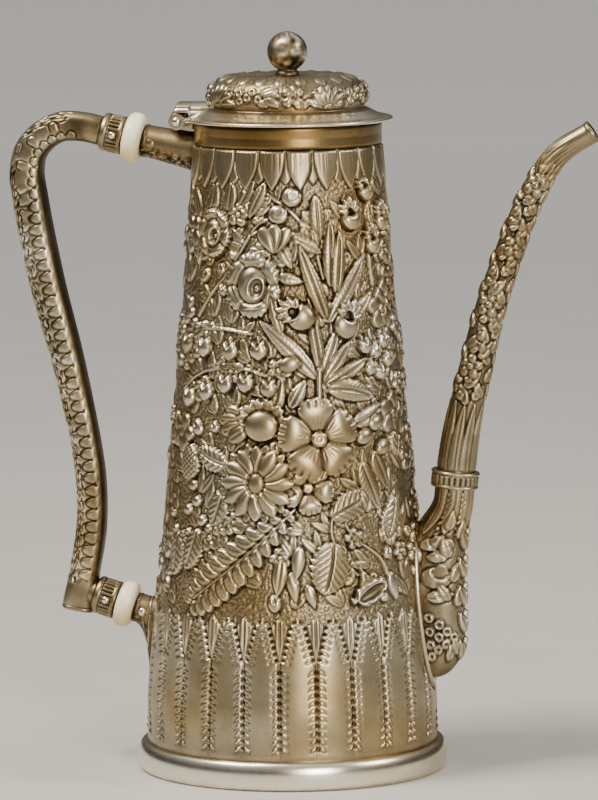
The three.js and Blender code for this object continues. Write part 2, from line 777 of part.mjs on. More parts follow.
function makeSpoutNeck(curve) {
  const steps = 18;
  const outside = [];
  const inside = [];
  for (let i = 0; i <= steps; i++) {
    const t = i / steps;
    const r = THREE.MathUtils.lerp(SPOUT_ROOT_R, SPOUT_TIP_R, t ** 0.8);
    const across = i === 0 ? new THREE.Vector3(ringAxis().z, 0, -ringAxis().x) : normalAt(curve, t);
    outside.push(section(curve.getPointAt(t), across, r, r));
    inside.push(section(curve.getPointAt(t), across, r - SPOUT_WALL, r - SPOUT_WALL));
  }
  return skin([...outside, ...inside.reverse()], true);
}

function makeSpoutRing() {
  const bore = SPOUT_ROOT_R + PRESS_GAP;
  const h = SPOUT_RING_H / 2;
  const ring = turned(
    [
      [bore, -h],
      [SPOUT_RING_R - 0.4, -h],
      [SPOUT_RING_R, -h + 0.5],
      [SPOUT_RING_R - 0.1, -h + 1],
      [SPOUT_RING_R - 0.4, -h + 1.3],
      [SPOUT_RING_R - 0.4, h - 1.3],
      [SPOUT_RING_R - 0.1, h - 1],
      [SPOUT_RING_R, h - 0.5],
      [SPOUT_RING_R - 0.4, h],
      [bore, h],
    ],
    24,
  );
  return ring.rotateY(SPOUT_TILT).translate(RING_CENTRE.x, 0, RING_CENTRE.z);
}

// One section of the pouch. `share` runs from 0 at the pouch's bottom to 1 at the ring; the
// back of the lower sections is inside the body, and is cut away.
function pouchRing(share, inset) {
  const { lerp, smoothstep } = THREE.MathUtils;
  const joint = RING_CENTRE.clone().addScaledVector(ringAxis(), -SOLDER_GAP);
  const z = lerp(POUCH_BOTTOM_Z, joint.z, share);
  const axisX = joint.x - (joint.z - z) * Math.tan(SPOUT_TILT);
  const round = Math.sqrt(1 - (1 - Math.min(share / 0.22, 1)) ** 2);
  const fullest = wallRadius(POUCH_FULL_Z) + POUCH_OUT;
  const straight = smoothstep(z, POUCH_FULL_Z, joint.z - 5);
  const front = lerp(fullest, axisX + SPOUT_ROOT_R, straight) - (1 - round) * 10;
  const free = smoothstep(z, FLANGE_TOP_Z - 6, joint.z - 6);
  const back = lerp(wallRadius(z) - 3, axisX - SPOUT_ROOT_R, free);
  const half = lerp(POUCH_HALF_WIDTH * (0.25 + 0.75 * round), SPOUT_ROOT_R, straight);
  const tilt = SPOUT_TILT * smoothstep(z, FLANGE_TOP_Z - 6, joint.z);
  const across = new THREE.Vector3(Math.cos(tilt), 0, -Math.sin(tilt));
  const middle = new THREE.Vector3((front + back) / 2, 0, z);
  return section(middle, across, (front - back) / 2 - inset, half - inset, 1, 18);
}

const POUCH_STEPS = 14;

function makeSpoutBase(envelope) {
  const outside = [];
  const inside = [];
  for (let i = 0; i <= POUCH_STEPS; i++) {
    outside.push(pouchRing(i / POUCH_STEPS, 0));
    if (i > 0) inside.push(pouchRing(i / POUCH_STEPS, SPOUT_WALL));
  }
  const mouth = inside[inside.length - 1].map((p) => p.clone().addScaledVector(ringAxis(), 2));
  const hollow = toSolid(skin([...inside, mouth], false));
  return toGeometry(toSolid(skin(outside, false)).subtract(hollow).subtract(envelope));
}

// The flat frame that lies on the wall round the pouch, pointed oval in outline.
function makeSpoutFlange(envelope) {
  const middle = (FLANGE_BOTTOM_Z + FLANGE_TOP_Z) / 2;
  const tall = (FLANGE_TOP_Z - FLANGE_BOTTOM_Z) / 2;
  const oval = (x) => {
    const ring = [];
    for (let k = 0; k < 24; k++) {
      const angle = ((k + 0.5) / 24) * 2 * Math.PI;
      const z = middle + tall * Math.sin(angle);
      ring.push(new THREE.Vector3(x, FLANGE_HALF_WIDTH * Math.cos(angle), z));
    }
    return ring;
  };
  const outline = toSolid(skin([oval(0), oval(BASE_R + POUCH_OUT)], false));
  const outerSkin = potEnvelope(SOLDER_GAP + FLANGE_T);
  const hole = [];
  for (let i = 0; i <= POUCH_STEPS; i++) {
    hole.push(pouchRing(i / POUCH_STEPS, -PRESS_GAP));
  }
  const bottom = hole[0].map((p) => p.clone().setZ(p.z - PRESS_GAP));
  const pouch = toSolid(skin([bottom, ...hole], false));
  return toGeometry(outline.intersect(outerSkin).subtract(envelope).subtract(pouch));
}

// ---- Assembly ----

const envelope = potEnvelope(SOLDER_GAP);

addPiece("body_wall", makeBodyWall(), SILVER);
addPiece("base_plate", makeBasePlate(), DARK_SILVER);
addPiece("foot_ring", makeFootRing(), BRIGHT_SILVER);
addPiece("rim_collar", makeRimCollar(), DARK_SILVER);

addPiece("lid_cover", makeLidCover(), SILVER);
addPiece("lid_bezel", makeLidBezel(), DARK_SILVER);
addPiece("finial_stem", makeFinialStem(), SILVER);
addPiece("finial_ball", makeFinialBall(), SILVER);
addPiece("finial_nut", makeFinialNut(), DARK_SILVER);
addPiece("lid_hinge_leaf", makeLidHingeLeaf(), SILVER);

addPiece("body_hinge_leaf", makeBodyHingeLeaf(envelope), SILVER);
const hingePin = addPiece(
  "hinge_pin",
  makePin(HINGE_PIN_R, HINGE_HALF + HEAD_GAP, HINGE_HEAD_R, HINGE_HEAD_H, SMALL_SIDES),
  BRIGHT_SILVER,
);
hingePin.position.set(HINGE_X, 0, HINGE_Z);

const grip = gripCurve();
addPiece("handle_grip", makeGrip(grip), SILVER);
addPiece("grip_end_cap", makeGripCap(grip), SILVER);

// Each mount: an ivory insulator, a ferrule on the grip's side and a socket on the wall's
// side, with a pin through each of its tenons.
const mounts = [
  {
    name: "upper",
    centre: UPPER_CENTRE,
    tilt: UPPER_TILT,
    discR: UPPER_INSULATOR_R,
    neckL: 0,
    reach: UPPER_REACH + 4,
    shape: upperSocketShape,
    socketHeadH: 0.2,
  },
  {
    name: "lower",
    centre: LOWER_CENTRE,
    tilt: LOWER_TILT,
    discR: LOWER_INSULATOR_R,
    neckL: LOWER_FERRULE_NECK,
    reach: LOWER_REACH + 5,
    shape: lowerSocketShape,
    socketHeadH: 0.9,
  },
];
for (const mount of mounts) {
  const group = mountGroup(mount.centre, mount.tilt);
  addPiece(mount.name + "_insulator", makeInsulator(mount.discR), IVORY, group);
  const away = gripCutter(grip, PRESS_GAP).transform(group.matrixWorld.clone().invert().elements);
  const ferrule = toGeometry(ferruleSolid(mount.neckL).subtract(away));
  addPiece(mount.name + "_ferrule", ferrule, SILVER, group);
  const socket = makeSocket(mount.centre, mount.tilt, mount.reach, mount.shape, envelope);
  addPiece(mount.name + "_socket", socket, SILVER);
  const across = INSULATOR_T / 2 + PIN_FROM_FACE;
  const ferruleHalf = FERRULE_R - 0.2;
  const ferrulePin = makePin(HANDLE_PIN_R, ferruleHalf, FERRULE_HEAD_R, FERRULE_HEAD_H);
  addPiece(mount.name + "_ferrule_pin", ferrulePin, BRIGHT_SILVER, group).position.z = across;
  const half = mount.shape(across).width + PRESS_GAP;
  const socketPin = makePin(HANDLE_PIN_R, half, SOCKET_HEAD_R, mount.socketHeadH);
  addPiece(mount.name + "_socket_pin", socketPin, BRIGHT_SILVER, group).position.z = -across;
}

addPiece("spout_base", makeSpoutBase(envelope), SILVER);
addPiece("spout_flange", makeSpoutFlange(envelope), SILVER);
addPiece("spout_ring", makeSpoutRing(), SILVER);
addPiece("spout_neck", makeSpoutNeck(spoutCurve()), SILVER);

export default pot;
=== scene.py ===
# %% [markdown]
# # A chased silver coffee pot
# The pot is repousse work: its ornament is pushed out of a thin silver wall from behind and
# then outlined from the front with punches. Each surface below is worked out with numpy as
# a plain shape plus a height field, so the flowers, leaves and beads are real relief.
# All sizes are in millimetres until a mesh is made; Blender's own unit is the metre.

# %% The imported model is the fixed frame
import bpy
import numpy as np
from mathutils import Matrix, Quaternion, Vector


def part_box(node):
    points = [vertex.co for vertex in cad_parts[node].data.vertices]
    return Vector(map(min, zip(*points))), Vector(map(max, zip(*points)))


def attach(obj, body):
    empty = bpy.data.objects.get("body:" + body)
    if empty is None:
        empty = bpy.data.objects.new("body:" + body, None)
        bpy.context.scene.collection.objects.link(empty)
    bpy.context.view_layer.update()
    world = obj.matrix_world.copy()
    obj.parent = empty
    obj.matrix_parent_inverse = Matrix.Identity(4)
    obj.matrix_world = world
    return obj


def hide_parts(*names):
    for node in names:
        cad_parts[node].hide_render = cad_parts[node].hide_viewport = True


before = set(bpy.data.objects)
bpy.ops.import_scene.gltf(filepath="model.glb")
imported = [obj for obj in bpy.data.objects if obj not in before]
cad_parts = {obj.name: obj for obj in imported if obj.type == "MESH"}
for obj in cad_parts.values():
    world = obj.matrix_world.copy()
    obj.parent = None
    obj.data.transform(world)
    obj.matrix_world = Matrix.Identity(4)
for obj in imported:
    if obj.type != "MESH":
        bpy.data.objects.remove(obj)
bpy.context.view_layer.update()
MM = 0.001


def span(node):
    """The lowest and highest corners of a CAD node, in millimetres."""
    low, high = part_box(node)
    return np.array(low) / MM, np.array(high) / MM


# %% [markdown]
# ## The stage
# A plain pale floor, wide enough to fill the view, and soft boxes large enough to give the
# metal broad, soft highlights. The camera stands two metres away with a long lens, slightly
# above the lid, and turned ten degrees towards the spout.

# %% Camera
CAMERA_DISTANCE = 2043
CAMERA_HEIGHT_DEG = 7.04
CAMERA_TURN_DEG = 10.0
CAMERA_ROLL_DEG = -0.45
CAMERA_AIM = (2.9, 0.5, 120.1)
LENS = 283


def place_camera():
    """Camera on a sphere round its aim: the direction is azimuth and height as angles."""
    turn, lift = np.radians([CAMERA_TURN_DEG, CAMERA_HEIGHT_DEG])
    away = Vector((np.sin(turn) * np.cos(lift), -np.cos(turn) * np.cos(lift), np.sin(lift)))
    aim = Vector(CAMERA_AIM) * MM
    data = bpy.data.cameras.new("camera")
    data.lens = LENS
    data.sensor_width = 36
    camera = bpy.data.objects.new("camera", data)
    bpy.context.scene.collection.objects.link(camera)
    camera.location = aim + away * CAMERA_DISTANCE * MM
    roll = Quaternion((0, 0, 1), np.radians(CAMERA_ROLL_DEG))
    camera.rotation_mode = "QUATERNION"
    camera.rotation_quaternion = (-away).to_track_quat("-Z", "Y") @ roll
    bpy.context.scene.camera = camera


place_camera()
print("camera placed")

# %% Colours and nodes


def linear(hex_colour):
    """sRGB hex to linear: below 0.04045 divide by 12.92, above it the 2.4 power law."""
    srgb = np.array([int(hex_colour[i:i + 2], 16) for i in (0, 2, 4)]) / 255
    rgb = np.where(srgb <= 0.04045, srgb / 12.92, ((srgb + 0.055) / 1.055) ** 2.4)
    return (*rgb.tolist(), 1.0)


def node(tree, kind, inputs=None, stops=(), **settings):
    """Adds a node, sets its properties, links or sets each input, and fills in a colour
    ramp's (position, hex colour) stops."""
    made = tree.nodes.new(kind)
    for key, value in settings.items():
        setattr(made, key, value)
    for key, value in (inputs or {}).items():
        if isinstance(value, bpy.types.NodeSocket):
            tree.links.new(value, made.inputs[key])
        else:
            made.inputs[key].default_value = value
    for count, (position, colour) in enumerate(stops):
        elements = made.color_ramp.elements
        element = elements[count] if count < 2 else elements.new(position)
        element.position = position
        element.color = linear(colour)
    return made


def new_material(name):
    """An empty material and its node tree."""
    material = bpy.data.materials.new(name)
    material.use_nodes = True
    material.node_tree.nodes.clear()
    return material, material.node_tree


def finished(material, inputs):
    """Gives a material its surface shader, with these inputs, and returns it."""
    surface = node(material.node_tree, "ShaderNodeBsdfPrincipled", inputs).outputs[0]
    node(material.node_tree, "ShaderNodeOutputMaterial", {"Surface": surface})
    return material


def mathed(tree, operation, *values, **settings):
    """The output of one sum or product of numbers and sockets."""
    made = node(tree, "ShaderNodeMath", dict(enumerate(values)), operation=operation, **settings)
    return made.outputs[0]


def noise(tree, place, size_mm, **inputs):
    """The grey value of a cloud whose lumps are about size_mm across."""
    inputs = {"Vector": place, "Scale": 1 / (size_mm * MM), **inputs}
    return node(tree, "ShaderNodeTexNoise", inputs).outputs["Fac"]


print("silver highlight in linear light:", linear("d9cdb4")[:3])

# %% Floor, backdrop and lights


def floor_material():
    """Matte painted board: pale, with a faint cloudy unevenness about 60 mm across, and
    whiter towards its far parts: painted light where the lamps light it less."""
    material, tree = new_material("matte_painted_board")
    place = node(tree, "ShaderNodeTexCoord").outputs["Object"]
    shade = node(
        tree, "ShaderNodeValToRGB", {"Fac": noise(tree, place, 60)},
        stops=[(0.3, "bcb9b3"), (0.7, "c3c0ba")],
    ).outputs["Color"]
    away = node(tree, "ShaderNodeVectorMath", {0: place}, operation="LENGTH").outputs["Value"]
    far = node(
        tree, "ShaderNodeMapRange", {"Value": away, "From Min": 0.2, "From Max": 2.5}
    ).outputs["Result"]
    # Painted light: the board is mixed towards white with distance from the middle, where the lamps
    # light it less.
    painted_far_light = node(
        tree, "ShaderNodeMix", {0: far, 6: shade, 7: linear("faf8f4")}, data_type="RGBA"
    ).outputs[2]
    return finished(material, {"Base Color": painted_far_light, "Roughness": 0.8})


def make_floor():
    """A round flat sheet: rings of points whose radius grows as a power, so that the
    middle is fine and the rim is far away."""
    radius = 9.0 * np.linspace(0, 1, 24)[1:] ** 2.0
    angle = np.linspace(0, 2 * np.pi, 96, endpoint=False)
    ring = np.stack([np.cos(angle), np.sin(angle), 0 * angle], 1)
    points = np.concatenate([[[0, 0, 0]], (radius[:, None, None] * ring).reshape(-1, 3)])
    index = 1 + np.arange(len(radius) * 96).reshape(-1, 96)
    turned_once = np.roll(index, -1, 1)
    quads = np.stack([index[:-1], index[1:], turned_once[1:], turned_once[:-1]], -1)
    fan = np.stack([index[0], turned_once[0], np.zeros(96, int)], 1)
    mesh = bpy.data.meshes.new("studio_floor")
    mesh.from_pydata(points.tolist(), [], quads.reshape(-1, 4).tolist() + fan.tolist())
    floor = bpy.data.objects.new("studio_floor", mesh)
    floor.data.materials.append(floor_material())
    bpy.context.scene.collection.objects.link(floor)


def soft_box(name, direction, distance, size, power, colour="ffffff"):
    """A square area light, size in metres, that faces the middle of the pot from a
    direction and a distance."""
    middle = Vector((0, 0, 0.12))
    data = bpy.data.lights.new(name, "AREA")
    data.size = size
    data.energy = power
    data.color = linear(colour)[:3]
    light = bpy.data.objects.new(name, data)
    away = Vector(direction).normalized()
    light.location = middle + away * distance
    light.rotation_mode = "QUATERNION"
    light.rotation_quaternion = (-away).to_track_quat("-Z", "Y")
    bpy.context.scene.collection.objects.link(light)


def light_the_stage():
    """One box nearly overhead, a weaker one to the right and a broad one in front. The room
    is a dome, bright overhead and dim at the horizon, so the metal's sides stay dark."""
    soft_box("top_box", (-0.45, -0.30, 0.86), 1.1, 0.42, 17, "fffaf0")
    soft_box("side_box", (0.82, -0.10, 0.50), 1.2, 0.35, 6, "fffaf0")
    soft_box("front_box", (0.46, -0.85, 0.22), 1.7, 0.55, 19, "fffaf0")
    world = bpy.data.worlds.new("dim_room")
    world.use_nodes = True
    tree = world.node_tree
    ray = node(tree, "ShaderNodeTexCoord").outputs["Generated"]
    height = node(tree, "ShaderNodeSeparateXYZ", {"Vector": ray}).outputs["Z"]
    dome = node(
        tree, "ShaderNodeValToRGB", {"Fac": height},
        stops=[(0.0, "262524"), (1.0, "ffffff"), (0.22, "3b3a37"), (0.6, "a9a6a0")],
    ).outputs["Color"]
    background = tree.nodes["Background"]
    tree.links.new(dome, background.inputs["Color"])
    background.inputs["Strength"].default_value = 0.9
    bpy.context.scene.world = world


make_floor()
light_the_stage()
print("stage: floor,", len(bpy.data.lights), "soft boxes")

# %% [markdown]
# ## Silver
# Sterling silver darkens with sulphur: thin tarnish is a warm straw brown, deep in the
# chased outlines it is nearly black, and hands polish the high points back to pale silver.
# So each silver piece carries two values per vertex: `recess`, 0 on high points to 1 in deep
# lines, and `matte`, 1 where the ground was stippled with a matting punch. The material
# reads them and adds cloudy tarnish, fine scratches and the punch marks.

# %% Silver material


def silver(name, tones, rough=(0.3, 0.52), stipple=0.35, cloud_mm=9.0, warm="f4e6cc"):
    """Worked silver: colour runs through five tones from worn to oxidised by recess, with a
    cloud of tarnish added, and broad patches are multiplied by a warm tint; roughness
    follows the recess too; bump is punch marks on the matte ground and hair-fine scratches
    elsewhere."""
    material, tree = new_material(name)
    place = node(tree, "ShaderNodeTexCoord").outputs["Object"]
    recess = node(tree, "ShaderNodeAttribute", attribute_name="recess").outputs["Fac"]
    matte = node(tree, "ShaderNodeAttribute", attribute_name="matte").outputs["Fac"]
    clouded = mathed(tree, "MULTIPLY_ADD", noise(tree, place, cloud_mm, Detail=5.0), 0.5, -0.25)
    grainy = mathed(tree, "MULTIPLY_ADD", noise(tree, place, 0.7, Detail=3.0), 0.22, -0.11)
    stained = mathed(tree, "ADD", recess, clouded)
    tone = mathed(tree, "ADD", stained, grainy, use_clamp=True)
    worn = node(tree, "ShaderNodeValToRGB", {"Fac": tone}, stops=tones).outputs["Color"]
    patches = node(
        tree, "ShaderNodeValToRGB", {"Fac": noise(tree, place, 32, Detail=2.0)},
        stops=[(0.4, "ffffff"), (0.64, warm)],
    ).outputs["Color"]
    colour = node(
        tree, "ShaderNodeMix", {0: 1.0, 6: worn, 7: patches}, data_type="RGBA",
        blend_type="MULTIPLY",
    ).outputs[2]
    roughness = node(
        tree, "ShaderNodeMapRange",
        {"Value": tone, "To Min": rough[0], "To Max": rough[1]},
    ).outputs["Result"]
    punch = node(
        tree, "ShaderNodeTexVoronoi", {"Vector": place, "Scale": 1 / (0.62 * MM)}
    ).outputs["Distance"]
    scratch_place = node(
        tree, "ShaderNodeMapping", {"Vector": place, "Rotation": (0.4, 0.2, 0.9),
                                    "Scale": (1.0, 6.0, 0.5)}
    ).outputs["Vector"]
    lines = mathed(tree, "MULTIPLY", noise(tree, scratch_place, 1.6, Detail=4.0), 0.035)
    dots = mathed(tree, "MULTIPLY", punch, matte)
    height = mathed(tree, "MULTIPLY_ADD", dots, stipple, lines)
    bump = node(
        tree, "ShaderNodeBump", {"Height": height, "Strength": 0.8, "Distance": 0.35 * MM}
    ).outputs["Normal"]
    return finished(material, {"Base Color": colour, "Metallic": 1.0, "Roughness": roughness,
                               "Normal": bump})


CHASED = silver(
    "tarnished_repousse_silver",
    [(0.0, "ece6d9"), (0.26, "b4a98f"), (0.52, "8c7f66"), (0.74, "625743"), (1.0, "2c2822")],
    rough=(0.27, 0.48),
)
PLAIN = silver(
    "planished_silver",
    [(0.0, "ddd7ca"), (0.35, "bdb29b"), (0.6, "908066"), (0.8, "5b4d3a"), (1.0, "28231c")],
    rough=(0.24, 0.45),
)
TONED = silver(
    "golden_brown_tarnished_silver",
    [(0.0, "b09a70"), (0.35, "857047"), (0.6, "63502f"), (0.8, "3f311d"), (1.0, "1c160d")],
    rough=(0.24, 0.42), cloud_mm=14.0,
)
BRIGHT = silver(
    "rubbed_bright_silver",
    [(0.0, "f6f2ea"), (0.4, "e6dfd0"), (0.7, "b3a487"), (0.9, "6f5d42"), (1.0, "3a3022")],
    rough=(0.22, 0.4), cloud_mm=6.0, warm="f8efdf",
)
print("silver finishes:", CHASED.name, PLAIN.name, TONED.name, BRIGHT.name)

# %% [markdown]
# ## Height fields
# A repousse sheet is painted from back to front: each motif is laid over what is already
# there, raised on a pillow profile, and a punched line is sunk all round it. A field keeps
# heights on a grid whose columns go round the piece and whose rows go along it.

# %% The field and its brush


def smooth(value, low, high):
    """0 below low, 1 above high, and 3t^2 - 2t^3 between."""
    t = np.clip((value - low) / (high - low), 0, 1)
    return t * t * (3 - 2 * t)


class Field:
    """Heights on a grid: across[j] is the angle in degrees round the piece, along[i] the
    distance along it, radius[i] the radius there, which turns angles into lengths. Shift
    turns every motif laid, so that a whole composition can be laid again further round."""

    def __init__(self, across, along, radius):
        self.across, self.along, self.radius = across, along, radius
        self.height = np.zeros((len(along), len(across)))
        self.covered = np.zeros_like(self.height)
        self.shift = 0.0

    def radius_at(self, place):
        return float(np.interp(place, self.along, self.radius))

    def window(self, angle, place, reach):
        """Rows and columns within reach of a point, and each cell's offsets from it."""
        i = np.flatnonzero(np.abs(self.along - place) <= reach)
        r = self.radius_at(place)
        gap = (self.across - angle + 180) % 360 - 180
        j = np.flatnonzero(np.abs(gap) * np.radians(1) * r <= reach)
        x = np.radians(gap[j])[None, :] * r
        y = (self.along[i] - place)[:, None]
        return i, j, np.broadcast_to(x, (len(i), len(j))), np.broadcast_to(y, (len(i), len(j)))

    def lay(self, angle, place, reach, turn, shape, groove=0.45, edge=0.22, groove_w=0.5):
        """Lays one motif. shape(x, y) gives its outside distance d and its height h; inside
        (d < 0) the height replaces what was there, outside a groove fades with d."""
        i, j, x, y = self.window(angle + self.shift, place, reach)
        if len(i) == 0 or len(j) == 0:
            return
        c, s = np.cos(np.radians(turn)), np.sin(np.radians(turn))
        d, h = shape(x * c + y * s, y * c - x * s)
        cells = np.ix_(i, j)
        inside = smooth(-d, -edge, edge)
        near = np.exp(-(np.maximum(d, 0) / groove_w) ** 2) * (1 - inside)
        old = self.height[cells]
        self.height[cells] = np.maximum(old * (1 - inside) + h * inside - groove * near, -0.55)
        self.covered[cells] = np.maximum(self.covered[cells], inside)


def soften(height, cells):
    """A Gaussian blur: the field times a bell curve in the frequency plane. Rows are
    mirrored at the ends first, and columns wrap."""
    tall = np.concatenate([height, height[::-1]])
    fy = np.fft.fftfreq(tall.shape[0])[:, None]
    fx = np.fft.rfftfreq(tall.shape[1])[None, :]
    bell = np.exp(-2 * (np.pi * cells) ** 2 * (fx ** 2 + fy ** 2))
    return np.fft.irfft2(np.fft.rfft2(tall) * bell, tall.shape)[: height.shape[0]]


def recess_of(height, pitch, base=0.42):
    """How deep each cell lies against its surroundings, at a narrow and a wide scale."""
    narrow = soften(height, 0.55 / pitch) - height
    wide = soften(height, 2.2 / pitch) - height
    return np.clip(base + 0.95 * narrow + 0.15 * wide, 0, 1)


print("height fields ready")

# %% Motif shapes


def leaf(length, width, p=0.6, q=0.9, bend=0.0, lift=0.5, crown=0.8, rib=0.4, veins=0.0,
         vein_pitch=1.5, teeth=0, tooth=0.14):
    """A leaf or petal along +x. Half width is t^p (1-t)^q scaled to its widest; the middle
    line bends as a parabola; the height is a pillow, less a rib along the middle and veins
    that run back from it."""
    def shape(x, y):
        t = np.clip(x / length, 0, 1)
        b = y - bend * 4 * t * (1 - t)
        most = (p / (p + q)) ** p * (q / (p + q)) ** q
        w = width / 2 * np.maximum(t, 1e-4) ** p * np.maximum(1 - t, 1e-4) ** q / most
        if teeth:
            w = w * (1 - tooth * ((t * teeth) % 1.0) + tooth / 2)
        past = x - np.clip(x, 0, length)
        d = np.where(past == 0, np.abs(b) - w, np.hypot(past, b))
        s = np.clip(np.abs(b) / np.maximum(w, 0.05), 0, 1)
        full = 0.55 + 0.45 * np.sin(np.pi * t ** 0.8)
        h = lift + crown * np.sqrt(np.clip(1 - s ** 2, 0, 1)) * full
        h = h - rib * np.exp(-(b / 0.36) ** 2) * smooth(1 - t, 0.02, 0.15)
        if veins:
            wave = np.abs(np.sin(np.pi * (x - 0.9 * np.abs(b)) / vein_pitch))
            cut = veins * np.exp(-(wave / 0.35) ** 2)
            h = h - cut * smooth(s, 0.08, 0.3) * smooth(1 - s, 0.0, 0.25)
        return d, h
    return shape


def dome(rx, ry, high, lift=0.4, square=2.0):
    """A boss: height is an ellipsoid's, lift + high * sqrt(1 - rho^square)."""
    def shape(x, y):
        rho = np.hypot(x / rx, y / ry)
        d = (rho - 1) * min(rx, ry)
        return d, lift + high * np.sqrt(np.clip(1 - rho ** square, 0, 1))
    return shape


def bud_shape(radius):
    """A round bud with two horns: by the angle from its top, the outline swells at 33
    degrees to either side and is nicked at the top."""
    def shape(x, y):
        way = np.abs(np.degrees(np.arctan2(x, y)))
        horns = 0.34 * np.exp(-((way - 33) / 13) ** 2) - 0.5 * np.exp(-(way / 13) ** 2)
        foot = 0.14 * np.exp(-((way - 180) / 14) ** 2)
        edge = radius * (1 + horns + foot)
        rho = np.hypot(x, y) / edge
        return (rho - 1) * radius * 0.85, 0.5 + 1.9 * np.sqrt(np.clip(1 - rho ** 2, 0, 1))
    return shape


def arc_line(radius, width=0.5, deep=0.32, opening=75):
    """An engraved arc round +x: a line of constant radius, open over an angle at -x."""
    def shape(x, y):
        way = np.abs(np.degrees(np.arctan2(y, x)))
        beyond = np.radians(np.maximum(way - (180 - opening), 0)) * radius
        d = np.hypot(np.abs(np.hypot(x, y) - radius), beyond) - width / 2
        return d, np.full(x.shape, -deep)
    return shape


def stem_shape(points, width, high):
    """A raised stem along a broken line: d is the distance to the nearest segment."""
    def shape(x, y):
        best = np.full(x.shape, 1e9)
        for (ax, ay), (bx, by) in zip(points[:-1], points[1:]):
            ux, uy = bx - ax, by - ay
            t = np.clip(((x - ax) * ux + (y - ay) * uy) / (ux * ux + uy * uy + 1e-9), 0, 1)
            best = np.minimum(best, np.hypot(x - ax - t * ux, y - ay - t * uy))
        d = best - width / 2
        return d, high * np.sqrt(np.clip(1 - (best / (width / 2)) ** 2, 0, 1)) * 0.6 + high * 0.4
    return shape


print("motif shapes: leaf, dome, bud, arc, stem")

# %% Motifs made of those shapes


def leaf_between(f, start, end, width, **kw):
    """A leaf from one (angle, height) point to another; lengths use the radius midway."""
    (a0, z0), (a1, z1) = start, end
    r = f.radius_at((z0 + z1) / 2)
    dx, dy = np.radians(a1 - a0) * r, z1 - z0
    length = float(np.hypot(dx, dy))
    f.lay(a0, z0, length + 3, np.degrees(np.arctan2(dy, dx)), leaf(length, width, **kw))


def stem(f, points, width=1.3, high=0.8):
    """A stem through (angle, height) points, smoothed by a quadratic through each middle."""
    a0, z0 = points[0]
    r = f.radius_at(np.mean([z for _, z in points]))
    line = np.array([[np.radians(a - a0) * r, z - z0] for a, z in points])
    middles = (line[1:] + line[:-1]) / 2
    path = [line[0]]
    for k in range(1, len(line) - 1):
        t = np.linspace(0, 1, 7)[:, None]
        path.extend((1 - t) ** 2 * middles[k - 1] + 2 * t * (1 - t) * line[k] + t ** 2 * middles[k])
    path.append(line[-1])
    reach = float(np.abs(line).max()) + 4
    f.lay(a0, z0, reach, 0, stem_shape([tuple(p) for p in path], width, high), groove=0.4)


def ring_of(f, angle, z, count, make, radius=0.0, turn=0.0, reach=14, squash=1.0):
    """count copies of a shape, each pointing outwards from a centre at equal angles."""
    r = f.radius_at(z)
    for k in range(count):
        way = turn + 360 * k / count
        dx = radius * np.cos(np.radians(way))
        dy = radius * np.sin(np.radians(way)) * squash
        f.lay(angle + np.degrees(dx / r), z + dy, reach, way, make)


def open_flower(f, angle, z, size=1.0, turn=96):
    """A flower of five broad petals with notched edges, fine radiating lines and a boss."""
    petal = leaf(11.8 * size, 11.6 * size, p=0.85, q=0.33, lift=0.9, crown=1.3, rib=0.0)

    def notched(x, y):
        d, h = petal(x, y)
        t = np.clip(x / (11.8 * size), 0, 1)
        fan = np.degrees(np.arctan2(y, np.maximum(x, 0.1)))
        edge = smooth(t, 0.68, 0.95)
        teeth = np.exp(-(np.abs(np.sin(np.radians(fan * 13))) / 0.45) ** 2)
        rays = np.abs(np.sin(np.radians(fan * 11)))
        h = h - 0.3 * np.exp(-(rays / 0.4) ** 2) * smooth(1 - t, 0.45, 0.75)
        h = h - 0.8 * smooth(1 - t, 0.4, 0.95) + 0.25 * np.exp(-((t - 0.7) / 0.2) ** 2)
        return d + 0.85 * teeth * edge, h - 0.55 * teeth * smooth(t, 0.74, 0.9)

    ring_of(f, angle, z, 5, notched, radius=1.2 * size, turn=turn, reach=15 * size)
    f.lay(angle, z, 6, 0, dome(2.6 * size, 2.6 * size, 1.0, lift=0.7), groove=0.8)
    f.lay(angle, z, 4, 0, dome(0.8 * size, 0.8 * size, 0.3, lift=1.2), groove=0.3)


def daisy(f, angle, z, size=1.0, petals=12, turn=90):
    """A daisy: long cupped petals round an oval boss, a second row showing between them."""
    back = leaf(10.2 * size, 4.2 * size, p=0.9, q=0.75, lift=0.5, crown=0.8, rib=0.2)
    front = leaf(9.8 * size, 4.5 * size, p=1.0, q=0.72, lift=0.8, crown=1.3, rib=0.0)
    ring_of(f, angle, z, petals, back, radius=1.6, turn=turn + 180 / petals, reach=13 * size)
    ring_of(f, angle, z, petals, front, radius=1.2, turn=turn, reach=13 * size)
    f.lay(angle, z, 6, 90, dome(2.9 * size, 2.3 * size, 1.0, lift=0.8), groove=0.8)


def rose(f, angle, z, size=1.0, turn=-20):
    """A half-open rose: six rolled petals round an oval bowl whose mouth lies to one side."""
    petal = dome(2.9 * size, 4.4 * size, 1.5, lift=0.6, square=2.6)

    def rolled(x, y):
        d, h = petal(x, y)
        crimp = np.exp(-(np.sin(y * 1.7 / size + 0.6) / 0.5) ** 2) * smooth(x, 0.4, 2.2)
        return d + 0.55 * crimp, h - 0.4 * crimp - 0.3 * np.exp(-((x + 0.6 * size) / 0.6) ** 2)

    ring_of(f, angle, z, 6, rolled, radius=6.1 * size, turn=turn, reach=8 * size, squash=1.15)
    f.lay(angle, z, 9, 90, dome(5.4 * size, 4.4 * size, 2.0, lift=0.7), groove=0.9)
    r = f.radius_at(z)
    side = angle + np.degrees(1.1 * size / r)
    f.lay(side, z - 0.6, 6, 78, dome(3.7 * size, 2.7 * size, 0.25, lift=2.2), groove=0.2)
    f.lay(side + 0.6, z - 0.8, 6, 78, dome(3.0 * size, 2.1 * size, -1.6, lift=2.0), groove=0.1)
    f.lay(side + 0.6, z - 1.0, 4, 78, dome(1.1 * size, 0.9 * size, 0.5, lift=0.8), groove=0.2)


